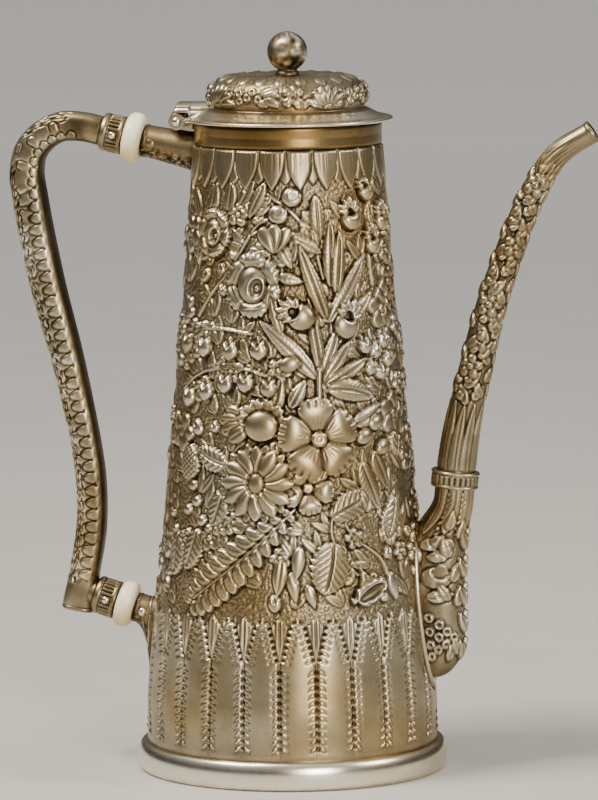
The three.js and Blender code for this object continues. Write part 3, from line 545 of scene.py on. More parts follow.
def bell(f, angle, z, size=1.0, turn=0):
    """A hanging bud whose mouth has two horns and a small tongue between them."""
    r = f.radius_at(z)
    up = np.radians(90 + turn)
    dx, dy = 1.2 * size * np.cos(up), 1.2 * size * np.sin(up)
    tongue = leaf(3.2 * size, 1.7 * size, p=0.5, q=0.7, lift=0.3, crown=0.6, rib=0.0)
    f.lay(angle + np.degrees(dx / r), z + dy, 5, 90 + turn, tongue, groove=0.2)
    f.lay(angle, z - 0.3 * size, 8, turn, bud_shape(2.95 * size), groove=0.6)


def pomegranate(f, angle, z, size=1.0, turn=30):
    """A round fruit with an open crown: pointed sepals stand round a dark hollow."""
    f.lay(angle, z, 9, turn, dome(4.1 * size, 4.4 * size, 2.2, lift=0.6), groove=0.8)
    r = f.radius_at(z)

    def at(far, way):
        dx, dy = far * size * np.cos(np.radians(way)), far * size * np.sin(np.radians(way))
        return dx, dy

    mx, my = at(2.9, turn + 90)
    hollow = dome(2.3 * size, 1.7 * size, -1.1, lift=1.0)
    f.lay(angle + np.degrees(mx / r), z + my, 5, turn, hollow, groove=0.1)
    for lean, long in ((-86, 3.5), (-48, 4.0), (-12, 4.6), (24, 4.1), (60, 3.8), (92, 3.3)):
        sx, sy = at(1.3, turn + 90 + lean)
        sepal = leaf(long * size, 2.7 * size, p=0.35, q=0.9, lift=1.3, crown=0.8, rib=0.0)
        f.lay(angle + np.degrees((mx + sx) / r), z + my + sy, 8, turn + 90 + 0.8 * lean, sepal,
              groove=0.45, groove_w=0.35)


def peony(f, angle, z, size=1.0, turn=0):
    """A round bud in a frilled collar, with a fan of long petals on one side."""
    for lean, length in ((150, 10), (172, 11.5), (194, 10.5), (216, 9)):
        petal = leaf(length * size, 5.2 * size, p=0.8, q=0.5, lift=0.6, crown=1.0, rib=0.25)
        f.lay(angle - 5, z - 0.5, 14, lean + turn, petal)

    def frill(x, y):
        way = np.radians(np.degrees(np.arctan2(y, x)) + turn)
        ragged = 8.4 * size + 0.5 * np.sin(11 * way) + 0.35 * np.sin(23 * way + 0.7)
        edge = 5.0 * size + (ragged - 5.0 * size) * smooth(y + 0.3 * x, -3.5, 0.5)
        rho = np.hypot(x, y)
        ruffle = 0.45 * np.abs(np.sin(6.5 * way)) + 0.8 * smooth(rho / edge, 0.7, 0.95)
        return rho - edge, 0.7 + ruffle

    f.lay(angle, z - 0.6 * size, 12, 0, frill, groove=0.6)
    f.lay(angle, z - 0.8 * size, 9, 0, dome(5.4 * size, 5.0 * size, 2.1, lift=0.7), groove=0.8)


def lobed_leaf(f, angle, z, turn, size=1.0, lobes=3):
    """A leaf cut into pairs of side lobes below a long end lobe, each with its own vein."""
    r = f.radius_at(z)
    way = np.radians(turn)
    for k in range(lobes - 1):
        step = (2.0 + 3.4 * k) * size
        for side in (-1, 1):
            dx, dy = step * np.cos(way), step * np.sin(way)
            lobe = leaf((6.6 - 1.0 * k) * size, 3.4 * size, p=0.7, q=0.6, lift=0.5, crown=0.8,
                        rib=0.3)
            f.lay(angle + np.degrees(dx / r), z + dy, 9 * size, turn + side * 48, lobe)
    end = leaf(13.5 * size, 4.6 * size, p=0.9, q=0.7, lift=0.6, crown=0.95, rib=0.4, veins=0.18)
    f.lay(angle, z, 16 * size, turn, end)


def serrated_leaf(f, angle, z, turn, length=15.0, width=9.0, bend=0.6):
    """A broad rose leaf: toothed edge, deep middle rib and clear side veins."""
    shape = leaf(length, width, p=0.55, q=0.62, bend=bend, lift=0.6, crown=1.1, rib=0.75,
                 veins=0.42, vein_pitch=2.3, teeth=8, tooth=0.2)
    f.lay(angle, z, length + 3, turn, shape)


def fern(f, start, end, leaflets=12, length=9.5, width=4.8):
    """A fern frond: leaflets in pairs lean towards the tip and shrink to it, laid from the
    tip back so that each overlaps the next, with the stalk over them."""
    (a0, z0), (a1, z1) = start, end
    r = f.radius_at((z0 + z1) / 2)
    turn = np.degrees(np.arctan2(z1 - z0, np.radians(a1 - a0) * r))
    for k in range(leaflets, -1, -1):
        t = k / leaflets
        size = np.sin(np.pi * (0.16 + 0.78 * (1 - t) ** 0.8)) ** 0.7
        angle, z = a0 + (a1 - a0) * (0.04 + 0.96 * t), z0 + (z1 - z0) * (0.04 + 0.96 * t)
        for side in (-1, 1):
            shape = leaf(length * size, width * (0.4 + 0.6 * size), p=0.6, q=0.45,
                         bend=-side * 1.1 * size, lift=0.6, crown=1.15, rib=0.2, veins=0.12)
            f.lay(angle, z, length + 2, turn + side * (56 - 12 * t), shape)
    stem(f, [start, ((a0 + a1) / 2 + 1.0, (z0 + z1) / 2 - 0.8), end], width=0.9, high=1.3)


def lily(f, angle, z, turn=-30, size=1.0):
    """A trumpet flower seen from the side: a flared cup with a rolled, wavy lip."""
    r = f.radius_at(z)
    way = np.radians(turn)
    cup = leaf(13 * size, 11 * size, p=1.5, q=0.28, lift=0.5, crown=1.2, rib=0.3, veins=0.15)
    f.lay(angle - np.degrees(9 * size * np.cos(way) / r), z - 9 * size * np.sin(way), 16, turn, cup)
    lip = dome(6.9 * size, 3.4 * size, 0.6, lift=1.6)

    def wavy(x, y):
        d, h = lip(x, y)
        return d + 0.35 * np.sin(x * 1.9), h

    f.lay(angle, z, 9, turn + 90, wavy, groove=0.6)
    throat = dome(5.6 * size, 2.0 * size, -1.5, lift=1.3)
    f.lay(angle + 0.6, z - 0.4, 8, turn + 90, throat, groove=0.1)


def cone(f, angle, z, size=1.0):
    """An egg-shaped cone whose small bosses lie where two slanting waves cross."""
    egg = dome(5.8 * size, 4.3 * size, 1.5, lift=0.6)

    def bumpy(x, y):
        d, h = egg(x, y)
        bosses = np.abs(np.sin((x + 0.8 * y) * 1.9) * np.sin((x - 0.8 * y) * 1.9))
        return d - 0.3 * bosses, h + 0.7 * bosses

    f.lay(angle, z, 9, 90, bumpy, groove=0.6)


print("motifs: flower, daisy, rose, bell, pomegranate, peony, leaves, fern, lily, cone")

# %% [markdown]
# ## Meshes from grids
# Every piece is a grid of points: rows run along the piece, columns round it. Faces join
# neighbours so that they look outwards when the columns run anticlockwise and the rows run
# up. Each mesh is closed, because a real sheet of silver has two sides and an edge.

# %% Grids into meshes


def circle(count):
    """Equal steps of angle round a full turn, in radians."""
    return np.linspace(0, 2 * np.pi, count, endpoint=False)


def quads(index, wrap):
    """Joins a grid of vertex numbers into four-sided faces, wrapping round its columns."""
    if wrap:
        index = np.concatenate([index, index[:, :1]], 1)
    corners = [index[:-1, :-1], index[:-1, 1:], index[1:, 1:], index[1:, :-1]]
    return np.stack(corners, -1).reshape(-1, 4)


def build(name, points, faces, body, slot, material, sharp=None, **values):
    """Makes a piece from points in millimetres and arrays of faces. Edges whose two ends
    are both marked sharp aren't smoothed over. Values are kept per vertex."""
    mesh = bpy.data.meshes.new(name)
    mesh.vertices.add(len(points))
    mesh.vertices.foreach_set("co", (points * MM).astype(np.float32).ravel())
    counts = np.concatenate([np.full(len(f), f.shape[1]) for f in faces])
    corners = np.concatenate([f.ravel() for f in faces])
    mesh.loops.add(len(corners))
    mesh.loops.foreach_set("vertex_index", corners.astype(np.int32))
    mesh.polygons.add(len(counts))
    starts = np.concatenate([[0], np.cumsum(counts)[:-1]])
    mesh.polygons.foreach_set("loop_start", starts.astype(np.int32))
    mesh.update(calc_edges=True)
    mesh.shade_smooth()
    if sharp is not None:
        ends = np.empty(2 * len(mesh.edges), np.int32)
        mesh.edges.foreach_get("vertices", ends)
        layer = mesh.attributes.new("sharp_edge", "BOOLEAN", "EDGE")
        layer.data.foreach_set("value", sharp[ends.reshape(-1, 2)].all(1))
    for key, array in values.items():
        layer = mesh.attributes.new(key, "FLOAT", "POINT")
        layer.data.foreach_set("value", np.asarray(array, np.float32).ravel())
    mesh.validate()
    piece = bpy.data.objects.new(name, mesh)
    bpy.context.scene.collection.objects.link(piece)
    mesh.materials.append(material)
    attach(piece, body)
    triangles = int((counts - 2).sum())
    print(f"{name}: {len(points)} points, {triangles} triangles")
    return piece


def tube_faces(rows, cols, ends="poles"):
    """Faces of a grid that wraps round: its ends are closed by two pole points, which come
    after the grid's points, or its last row joins its first."""
    index = np.arange(rows * cols).reshape(rows, cols)
    if ends == "joined":
        return [quads(np.concatenate([index, index[:1]]), True)]
    low, high = rows * cols, rows * cols + 1
    first, last = index[0], index[-1]
    fan_low = np.stack([np.roll(first, -1), first, np.full(cols, low)], 1)
    fan_high = np.stack([last, np.roll(last, -1), np.full(cols, high)], 1)
    return [quads(index, True), fan_low, fan_high]


def build_tube(name, grid, shade, body, slot, material, ends="poles", pole_shade=0.5, **values):
    """Makes a piece from a grid of points that wraps round, and the recess of each point. A
    grid with pole ends gets a point in the middle of its first row and of its last."""
    points, shade = grid.reshape(-1, 3), np.broadcast_to(shade, grid.shape[:2]).ravel()
    if ends == "poles":
        points = np.concatenate([points, [grid[0].mean(0), grid[-1].mean(0)]])
        shade = np.concatenate([shade, [pole_shade, pole_shade]])
    faces = tube_faces(*grid.shape[:2], ends=ends)
    return build(name, points, faces, body, slot, material, recess=shade, **values)


def turned(profile, count):
    """Carries a closed (radius, height) profile round the Z axis: x = r cos a, y = r sin a."""
    angle = circle(count)
    r, z = np.asarray(profile, float).T
    return np.stack(
        [r[:, None] * np.cos(angle), r[:, None] * np.sin(angle),
         np.broadcast_to(z[:, None], (len(r), count))], -1,
    )


def rounded(points, radius=0.3, steps=4):
    """Rounds a closed outline's corners: each becomes a quadratic curve that starts and
    ends a short way along its two sides."""
    p = np.asarray(points, float)
    before, after = np.roll(p, 1, 0), np.roll(p, -1, 0)
    reach_b = np.minimum(radius / np.linalg.norm(before - p, axis=1), 0.45)[:, None]
    reach_a = np.minimum(radius / np.linalg.norm(after - p, axis=1), 0.45)[:, None]
    start, end = p + (before - p) * reach_b, p + (after - p) * reach_a
    t = np.linspace(0, 1, steps)[None, :, None]
    curve = (1 - t) ** 2 * start[:, None] + 2 * t * (1 - t) * p[:, None] + t ** 2 * end[:, None]
    return curve.reshape(-1, 2)


print("mesh helpers ready")

# %% [markdown]
# ## The body wall
# The wall is one tapering sheet: a cone with a slight swell above the foot. Its height field
# holds three bands: pleats with punched bead rows below, a thick garden of flowers, and a
# row of overlapping leaves under the collar. The field is painted once and then cut into
# seven closed shells, because a single mesh of this fineness would be too heavy to handle.

# %% The wall's plain shape
wall_high = span("body_wall")[1]
foot_high = span("foot_ring")[1]
collar_low, collar_high = span("rim_collar")
FOOT_TOP = foot_high[2]
WALL_TOP = wall_high[2]
BASE_R, TOP_R = 47.4, 29.9
SWELL, SWELL_Z = 1.0, 30.0
# How far under the wall's plain face the pieces that meet it reach.
SUNK = 0.35


def wall_radius(z):
    """A straight taper plus a swell z/Z exp(1 - z/Z), greatest at height Z."""
    taper = BASE_R + (TOP_R - BASE_R) * z / WALL_TOP
    return taper + SWELL * (z / SWELL_Z) * np.exp(1 - z / SWELL_Z)


COLUMNS = 960
ROWS = 577
across = np.arange(COLUMNS) * 360 / COLUMNS - 125.0
along = np.linspace(FOOT_TOP, WALL_TOP, ROWS)
PITCH = (WALL_TOP - FOOT_TOP) / (ROWS - 1)
wall = Field((across + 180) % 360 - 180, along, wall_radius(along))
rng = np.random.default_rng(7)
print(f"wall: {COLUMNS} x {ROWS} cells, {PITCH:.2f} mm apart")

# %% [markdown]
# ## Flowers
# The garden is laid from back to front. First come loose leaves and buds that fill the
# ground, then the stems and the large motifs at listed places. The same bouquet is
# laid again half a turn further round, as a chaser would repeat a drawn pattern.

# %% Ground filling
GARDEN_LOW, GARDEN_HIGH = 58.0, 190.0
STEP = 7.6


def small_flower(f, angle, z, size, turn=0):
    """Five round petals and a dot."""
    ring_of(f, angle, z, 5, dome(2.3 * size, 1.9 * size, 0.8, lift=0.5), 2.4 * size, turn, 6)
    f.lay(angle, z, 3, 0, dome(1.0 * size, 1.0 * size, 0.5, lift=0.8), groove=0.4)


def fill_ground(f):
    """Leaf pairs, buds and small flowers on a staggered net, each a little off its place."""
    for row, z in enumerate(np.arange(GARDEN_LOW + 3, GARDEN_HIGH - 2, STEP * 0.8)):
        step = np.degrees(STEP / float(wall_radius(z)))
        for angle in np.arange(-180 + (row % 2) * step / 2, 180 - step / 2, step):
            da, dz, turn, kind, size = rng.random(5)
            at, up = angle + (da - 0.5) * step * 0.6, z + (dz - 0.5) * 3
            turn = 40 + 100 * turn if kind < 0.8 else 360 * turn
            if kind < 0.5:
                pair = leaf(7 + 3 * size, 2.6 + size, p=0.6, q=0.8, lift=0.2, crown=0.5, rib=0.3)
                f.lay(at, up - 3, 13, turn, pair, groove=0.35)
                f.lay(at, up - 3, 13, turn + 38, pair, groove=0.35)
            elif kind < 0.68:
                f.lay(at, up, 5, turn, dome(2.0 + size, 1.6 + 0.6 * size, 1.0, lift=0.4))
                f.lay(at, up, 5, turn, leaf(2.4, 0.9, lift=0.5, crown=0.2, rib=0), groove=0.1)
            elif kind < 0.8:
                small_flower(f, at, up, 0.7 + 0.4 * size, turn)


fill_ground(wall)
print("ground filled")

# %% Stems and leaves of the bouquet


def greenery(f):
    """The stems and long leaves that hold the bouquet together."""
    stem(f, [(-136, 150), (-126, 158), (-112, 166), (-103, 175), (-97, 180), (-90, 182)], 1.1, 0.7)
    stem(f, [(-101, 177), (-95, 179), (-90, 177), (-88, 173)], 0.9, 0.6)
    stem(f, [(-96, 191), (-86, 187.5), (-76, 183), (-67, 175), (-62, 163)], 1.1, 0.8)
    stem(f, [(-28, 160), (-30, 170), (-26, 178), (-27, 187)], 1.0, 0.7)
    stem(f, [(-50, 158), (-43, 163), (-35, 168), (-30, 178)], 1.0, 0.7)
    stem(f, [(-146, 126), (-134, 131.5), (-118, 134.5), (-102, 134.5), (-86, 131)], 1.1, 0.8)
    stem(f, [(-150, 142), (-136, 146), (-118, 147), (-100, 145.5)], 1.1, 0.8)
    for placing in ((-63, 174, 92, 1.15), (-61, 171, 152, 1.05), (-103, 182, 66, 0.95),
                    (-78, 166, 118, 1.0), (-88, 172, 200, 0.8), (-139, 166, 80, 1.0)):
        lobed_leaf(f, *placing)
    low = {"lift": 0.25, "crown": 0.55, "rib": 0.45, "veins": 0.1}
    for start, end, width in (((-131, 182), (-127, 193), 4.6), ((-142, 181), (-150, 191), 4.8),
                              ((-117, 184), (-115, 194), 4.4), ((-109, 186), (-100, 195), 3.8),
                              ((-152, 160), (-160, 173), 5.2), ((-147, 150), (-158, 157), 4.6),
                              ((-158, 186), (-166, 194), 4.4), ((-20, 194), (-12, 188), 4.0)):
        leaf_between(f, start, end, width, **low)
    long = {"p": 0.62, "q": 0.85, "lift": 0.7, "crown": 1.1, "rib": 0.8, "veins": 0.1,
            "teeth": 6, "tooth": 0.07}
    for start, end, width, bend in (
        ((-57, 160), (-56, 182), 5.2, 0), ((-54, 158), (-50, 178), 5.0, 0),
        ((-60, 150), (-75, 174), 5.6, 0), ((-59, 149), (-34, 170), 5.4, 0),
        ((-52, 146), (-30, 158), 5.2, 0), ((-63, 131), (-70, 157), 4.6, 0),
        ((-66, 131), (-97, 150), 6.2, -0.8), ((-64, 131), (-54, 147), 5.0, 0),
        ((-63, 130), (-47, 143), 4.8, 0), ((-62, 129), (-36, 137), 5.0, 0),
        ((-61, 128), (-34, 124), 7.4, 1.0), ((-48, 116), (-28, 122), 6.4, -0.7),
        ((-88, 120), (-84, 132), 5.4, 0), ((-80, 122), (-72, 131), 5.0, 0),
    ):
        leaf_between(f, start, end, width, bend=bend, **long)
    stem(f, [(-65, 121), (-65.5, 127), (-65, 134)], 1.8, 1.5)


print("greenery defined")

# %% Flowers and fruit of the bouquet


def blossoms(f):
    """Buds, fruit and flowers of the upper half, then the large flowers below them."""
    for angle, z in ((-78, 189), (-86, 183.5)):
        f.lay(angle, z, 5, 0, dome(3.1, 3.1, 1.3, lift=0.5), groove=0.6)
        f.lay(angle + 0.6, z + 0.8, 5, 40, dome(1.9, 1.5, -0.2, lift=1.8), groove=0.3)
    for way in (62, 90, 118):
        f.lay(-88, 171, 12, way, leaf(9.5, 4.6, p=0.9, q=0.45, lift=0.8, crown=1.3, rib=0.0))
    rose(f, -127, 177, 0.82, -10)
    rose(f, -100, 161, 1.08, -25)
    leaf_between(f, (-86, 164), (-72, 162), 4.0, rib=0.3, veins=0.2)
    leaf_between(f, (-84, 146), (-90, 158), 4.4, rib=0.3)
    for placing in ((-74, 151, 1.05, 58), (-49, 148, 1.05, -18), (-42, 181.5, 0.85, 10),
                    (-26, 173, 0.8, 10), (-29, 190, 0.75, 20), (-15, 180, 0.8, 0)):
        pomegranate(f, *placing)
    for angle, z in ((-144, 141), (-129, 140.5), (-112, 140), (-96, 140.5)):
        bell(f, angle, z, 0.98, 4)
    for angle, z in ((-139, 124), (-126, 126.5), (-114, 129.5), (-102.5, 130), (-90.5, 128.5)):
        bell(f, angle, z, 0.95, 0)
    f.lay(-80, 136, 6, 20, dome(3.4, 2.6, 1.3, lift=0.5))
    for angle, z, turn in ((-38, 141, 20), (-31, 139, -30), (-24, 142, 10), (-35, 134, -20),
                           (-28, 132, 25), (-21, 136, -10)):
        bell(f, angle, z, 0.85, turn)
    for placing in ((-22, 152, 1.5, 20), (-144, 112, 1.4, 0), (-150, 176, 1.4, 50),
                    (-12, 160, 1.3, 50)):
        small_flower(f, *placing)


print("blossoms defined")

# %% The large flowers at the heart of the bouquet


def heart(f):
    """The fern, serrated leaves and trumpet below, and the four large flowers above them."""
    cone(f, -134, 103)
    for angle, z in ((-128, 91), (-124, 85), (-134, 88), (-118, 90), (-131, 96)):
        f.lay(angle, z, 4, 0, dome(1.9, 1.9, 1.1, lift=0.5), groove=0.5)
    for placing in ((-110, 103, 160, 14, 7.5), (-112, 96, 252, 13, 7.5), (-126, 82, 250, 14, 8),
                    (-140, 80, 265, 14, 8)):
        serrated_leaf(f, *placing)
    fern(f, (-78, 90), (-124, 60))
    leaf_between(f, (-84, 74), (-86, 62), 5.0, rib=0.3)
    leaf_between(f, (-80, 70), (-78, 60), 4.0, rib=0.0, crown=1.0)
    leaf_between(f, (-76, 78), (-78, 67), 4.4, rib=0.0, crown=1.0)
    leaf_between(f, (-73, 66), (-70, 58), 3.6, rib=0.0, crown=1.0)
    stem(f, [(-61, 88), (-62, 81), (-57, 73), (-50, 68)], 1.0, 0.9)
    stem(f, [(-58, 90), (-52, 80), (-43, 76), (-36, 72), (-33, 64)], 1.0, 0.9)
    for placing in ((-61, 79, 258, 17, 13), (-62, 87, 22, 17, 9.5), (-44, 88, 62, 15, 8.5),
                    (-30, 76, 84, 14, 7.5), (-25, 92, 250, 14, 7.5), (-20, 104, 75, 14, 7.5)):
        serrated_leaf(f, *placing)
    leaf_between(f, (-45, 104), (-36, 88), 6.5, rib=0.5, veins=0.2)
    leaf_between(f, (-37, 107), (-29, 94), 6.0, rib=0.5, veins=0.2)
    lily(f, -44, 62.5, -66)
    leaf_between(f, (-32, 68), (-29, 58.5), 4.4, rib=0.0, crown=1.0)
    for angle, z in ((-42, 112), (-34, 116), (-30, 108)):
        f.lay(angle, z, 7, 20, dome(3.4, 2.6, 1.5, lift=0.6), groove=0.5)
    small_flower(f, -19, 118, 1.6, 10)
    open_flower(f, -72, 96.5, 0.66, 60)
    daisy(f, -96, 98, 1.12)
    peony(f, -94, 117)
    open_flower(f, -66, 112, 1.02)


for shift in (180.0, 0.0):
    wall.shift = shift
    greenery(wall)
    blossoms(wall)
    heart(wall)
wall.shift = 0.0
print(f"bouquets laid, highest relief {wall.height.max():.2f} mm")

# %% [markdown]
# ## Pleats and bead rows
# Below the garden stand 24 long smooth lobes. Between two lobes runs a row of round punch
# marks, each with a short barb to either side; near the top the row parts round a small
# fluted dart. The lobes are a formula of the angle, and the punch marks are laid on it.

# %% Pleats
LOBES = 24
LOBE_DEG = 360 / LOBES
DART_DEG = 5.0
PLEAT_TOP = 55.6
SHOULDER = 52.2
DART_FOOT = 40.5
DART_HALF = 2.7
BEAD_PITCH = 2.45

angle_grid, z_grid = np.meshgrid(wall.across, wall.along)
half_pitch = np.radians(LOBE_DEG / 2) * wall_radius(z_grid)


def pleats():
    """Height of the pleated band: each lobe is a flat pillow between its two borders, and
    the dart between two lobes is a small three-fluted wedge."""
    gap = (angle_grid - DART_DEG + LOBE_DEG / 2) % LOBE_DEG - LOBE_DEG / 2
    x = np.abs(np.radians(gap) * wall_radius(z_grid))
    rise = np.clip((z_grid - DART_FOOT) / (SHOULDER - DART_FOOT), 0, 1)
    close = np.clip((z_grid - SHOULDER) / (PLEAT_TOP - SHOULDER), 0, 1)
    border = DART_HALF * rise ** 0.9 + (half_pitch - DART_HALF) * close ** 0.8
    dart = np.where(z_grid > DART_FOOT, DART_HALF * rise * (1 - close), -1)
    inside = smooth(x - border, 0.0, 0.9)
    across_lobe = np.clip((half_pitch - x) / np.maximum(half_pitch - border, 0.1), 0, 1)
    swell = 0.45 + 0.5 * (1 - across_lobe ** 2) ** 0.6
    lobe = swell * inside * (0.15 + 0.85 * smooth(z_grid, 11, 26)) * (z_grid < PLEAT_TOP)
    flutes = 0.7 - 0.3 * np.cos(x * 2 * np.pi / 1.5) * smooth(dart - x, 0, 0.5)
    in_dart = smooth(dart - x, 0.0, 0.35)
    rim = np.exp(-((np.minimum(x - border, 9) - 0.9) / 0.5) ** 2) * smooth(z_grid, 44, 50)
    formed = np.maximum(inside * (z_grid < PLEAT_TOP), in_dart)
    return np.maximum(lobe + 0.25 * rim * inside, flutes * in_dart), formed


pleat_height, pleat_formed = pleats()
band = z_grid < PLEAT_TOP + 0.2
wall.height = np.where(band, np.maximum(pleat_height, wall.height * (z_grid > 50)), wall.height)
print("pleats formed")

# %% Bead rows


def beads(f):
    """Punch marks up each border, one row below the dart and two along its sides, with a
    barb on the lobe beside each."""
    pit = dome(0.78, 0.78, -0.35, lift=-0.15)
    barb = leaf(2.3, 0.95, p=0.4, q=0.8, lift=0.35, crown=0.45, rib=0.0)
    single = np.arange(13.2, DART_FOOT - 1, BEAD_PITCH)
    double = np.arange(DART_FOOT + 1.2, PLEAT_TOP - 1.5, BEAD_PITCH * 0.82)
    for k in range(LOBES):
        centre = DART_DEG + k * LOBE_DEG
        for z in single:
            for side in (-1, 1):
                at = centre + side * np.degrees(0.75 / float(wall_radius(z)))
                f.lay(at, z + 0.5, 4, -90 + side * 48, barb, groove=0.3, groove_w=0.3)
            f.lay(centre, z, 2, 0, pit, groove=0.0)
        for z in double:
            share = min((z - DART_FOOT) / (SHOULDER - DART_FOOT), 1)
            out = DART_HALF * share + 0.75 + max(z - SHOULDER, 0) * 0.7
            for side in (-1, 1):
                at = centre + side * np.degrees(out / float(wall_radius(z)))
                beside = at + side * np.degrees(0.5 / float(wall_radius(z)))
                f.lay(beside, z + 0.4, 4, -90 + side * 52, barb, groove=0.3, groove_w=0.3)
                f.lay(at, z, 2, 0, dome(0.6, 0.6, -0.3, lift=-0.1), groove=0.0)


beads(wall)
print("bead rows punched")

# %% [markdown]
# ## The leaf band under the collar
# Twenty-two pointed leaves hang from the collar, with the tips of a second row between them.
# Each leaf is outlined by one punched line and streaked with short strokes at its root.

# %% Leaf band
LEAVES = 22
LEAF_DEG = 360 / LEAVES
LEAF_AT = -73.2
LEAF_TIP = 191.0


def hanging_leaves(offset, tip, power):
    """Distance outside a row of hanging leaves, and the share across each of them."""
    gap = (angle_grid - LEAF_AT - offset + LEAF_DEG / 2) % LEAF_DEG - LEAF_DEG / 2
    x = np.abs(np.radians(gap) * wall_radius(z_grid))
    half = np.radians(LEAF_DEG / 2) * wall_radius(z_grid) - 0.3
    up = np.clip((z_grid - tip) / (WALL_TOP - tip), 0, 1)
    width = half * (1 - (1 - up) ** power)
    out = np.where(z_grid < tip, np.hypot(x, tip - z_grid), (x - width) * 0.85)
    return out, np.clip(x / np.maximum(width, 0.1), 0, 1), gap


def leaf_band(height):
    """Lays the back row, then the front row, each a low pillow inside a punched outline."""
    formed = np.zeros_like(height)
    for offset, tip, power, lift in ((LEAF_DEG / 2, 192.8, 2.8, 0.25), (0, LEAF_TIP, 2.5, 0.5)):
        out, share, gap = hanging_leaves(offset, tip, power)
        inside = smooth(-out, -0.15, 0.2)
        streak = np.sin(np.radians(gap) * 30 * 2 * np.pi / 0.9 + 9 * np.sin(gap * 7))
        streak = 0.11 * np.maximum(streak, 0) * smooth(z_grid, 193.5, 201)
        pillow = lift + 0.3 * np.sqrt(1 - share ** 2) - streak
        groove = 0.75 * np.exp(-(np.maximum(out, 0) / 0.36) ** 2) * (1 - inside)
        formed = np.maximum(formed, inside)
        height = np.maximum(height * (1 - inside) + pillow * inside - groove, -0.45)
    return height, formed


rows_up = z_grid > LEAF_TIP - 2
leafy, leaf_formed = leaf_band(wall.height)
wall.height = np.where(rows_up, leafy, wall.height)
wall.covered = np.where(rows_up, np.maximum(wall.covered, leaf_formed), wall.covered)
wall.covered = np.where((z_grid < SHOULDER - 3) | (z_grid > 196), 1, wall.covered)
wall.covered = np.where(band, np.maximum(wall.covered, pleat_formed), wall.covered)
print("leaf band formed")

# %% Calm ground under the spout's flange and the handle's lower socket
flange_low, flange_high = span("spout_flange")
socket_low, socket_high = span("lower_socket")


def calm(height):
    """Flattens the relief where the flange and the lower socket sit on the wall."""
    y = wall_radius(z_grid) * np.sin(np.radians(angle_grid))

    def beyond(low, high, room, inner, outer):
        up, tall = (low[2] + high[2]) / 2, (high[2] - low[2]) / 2
        oval = np.hypot(y / (high[1] + room), (z_grid - up) / (tall + room))
        return smooth(oval, inner, outer)

    keep = np.where(np.abs(angle_grid) < 90, beyond(flange_low, flange_high, 0.4, 0.97, 1.04),
                    beyond(socket_low, socket_high, 0.3, 0.95, 1.1))
    return np.where(keep < 1, np.minimum(height * keep, height), height)


wall.height = calm(wall.height)
ends = smooth(z_grid, FOOT_TOP, FOOT_TOP + 1.5) * (1 - smooth(z_grid, WALL_TOP - 0.6, WALL_TOP))
grain = soften(rng.standard_normal(wall.height.shape), 0.6)
ground = 1 - np.clip(wall.covered, 0, 1)
wall.height = (wall.height + 0.22 * grain * ground) * ends
wall.height = soften(wall.height, 0.45)
recess = recess_of(wall.height, PITCH)
recess = recess + 0.06 * ground + 0.07 * smooth(z_grid, LEAF_TIP + 1, LEAF_TIP + 5)
recess = np.clip(recess - 0.05 * (1 - smooth(z_grid, 50, 56)), 0, 1)
print(f"relief {wall.height.min():.2f} to {wall.height.max():.2f} mm")

# %% Shells cut from the wall
SHEET = 1.0


def wall_points(rows, cols, height):
    """Cylinder coordinates with the relief added to the radius, in millimetres."""
    angle = np.radians(across[cols % COLUMNS])[None, :]
    r = wall_radius(along[rows])[:, None] + height
    z = np.broadcast_to(along[rows][:, None], r.shape)
    return np.stack([r * np.cos(angle), r * np.sin(angle), z], -1)


def cut_shell(name, row0, row1, col0, col1):
    """A closed shell: a fine outside, and a plain inside one sheet thickness further in.
    A shell that goes all the way round has no side walls."""
    rows = np.arange(row0, row1 + 1)
    whole = col1 - col0 == COLUMNS
    cols = np.arange(col0, col1 + (0 if whole else 1))
    height = wall.height[np.ix_(rows, cols % COLUMNS)]
    outside = wall_points(rows, cols, height)
    inside = wall_points(rows[[0, -1]], cols, np.full((2, len(cols)), -SHEET))
    n, m = outside.shape[:2]
    index = np.arange(n * m).reshape(n, m)
    inner = n * m + np.arange(2 * m).reshape(2, m)
    faces = [
        quads(index, whole),
        quads(np.stack([inner[0], index[0]]), whole),
        quads(np.stack([index[-1], inner[1]]), whole),
        quads(np.stack([inner[1], inner[0]]), whole),
    ]
    if not whole:
        faces.append(np.concatenate([index[::-1, 0], inner[:, 0]])[None, :])
        faces.append(np.concatenate([index[:, -1], inner[::-1, -1]])[None, :])
    rim = np.ones(n * m + 2 * m, bool)
    rim[(index[1:-1] if whole else index[1:-1, 1:-1]).ravel()] = False
    points = np.concatenate([outside.reshape(-1, 3), inside.reshape(-1, 3)])
    inner_dark = np.full(2 * m, 0.5)
    dark = recess[np.ix_(rows, cols % COLUMNS)].ravel()
    rough = ground[np.ix_(rows, cols % COLUMNS)].ravel()
    return build(
        name, points, faces, "pot", "chased_silver", CHASED, sharp=rim,
        recess=np.concatenate([dark, inner_dark]), matte=np.concatenate([rough, 0 * inner_dark]),
    )


GARDEN_ROW0 = int(np.searchsorted(along, 57.0))
GARDEN_ROW1 = int(np.searchsorted(along, 190.2))
quarter, half_way = COLUMNS // 4, COLUMNS // 2
shells = []
for k, side in enumerate(("front", "spout_side", "back", "handle_side")):
    start, end = k * quarter, (k + 1) * quarter
    shells.append(cut_shell(f"garden_{side}", GARDEN_ROW0, GARDEN_ROW1, start, end))
for k, side in enumerate(("front", "back")):
    start, end = k * half_way, (k + 1) * half_way
    shells.append(cut_shell(f"pleats_{side}", 0, GARDEN_ROW0, start, end))
shells.append(cut_shell("leaf_band", GARDEN_ROW1, ROWS - 1, 0, COLUMNS))
for shell in shells:
    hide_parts("body_wall")

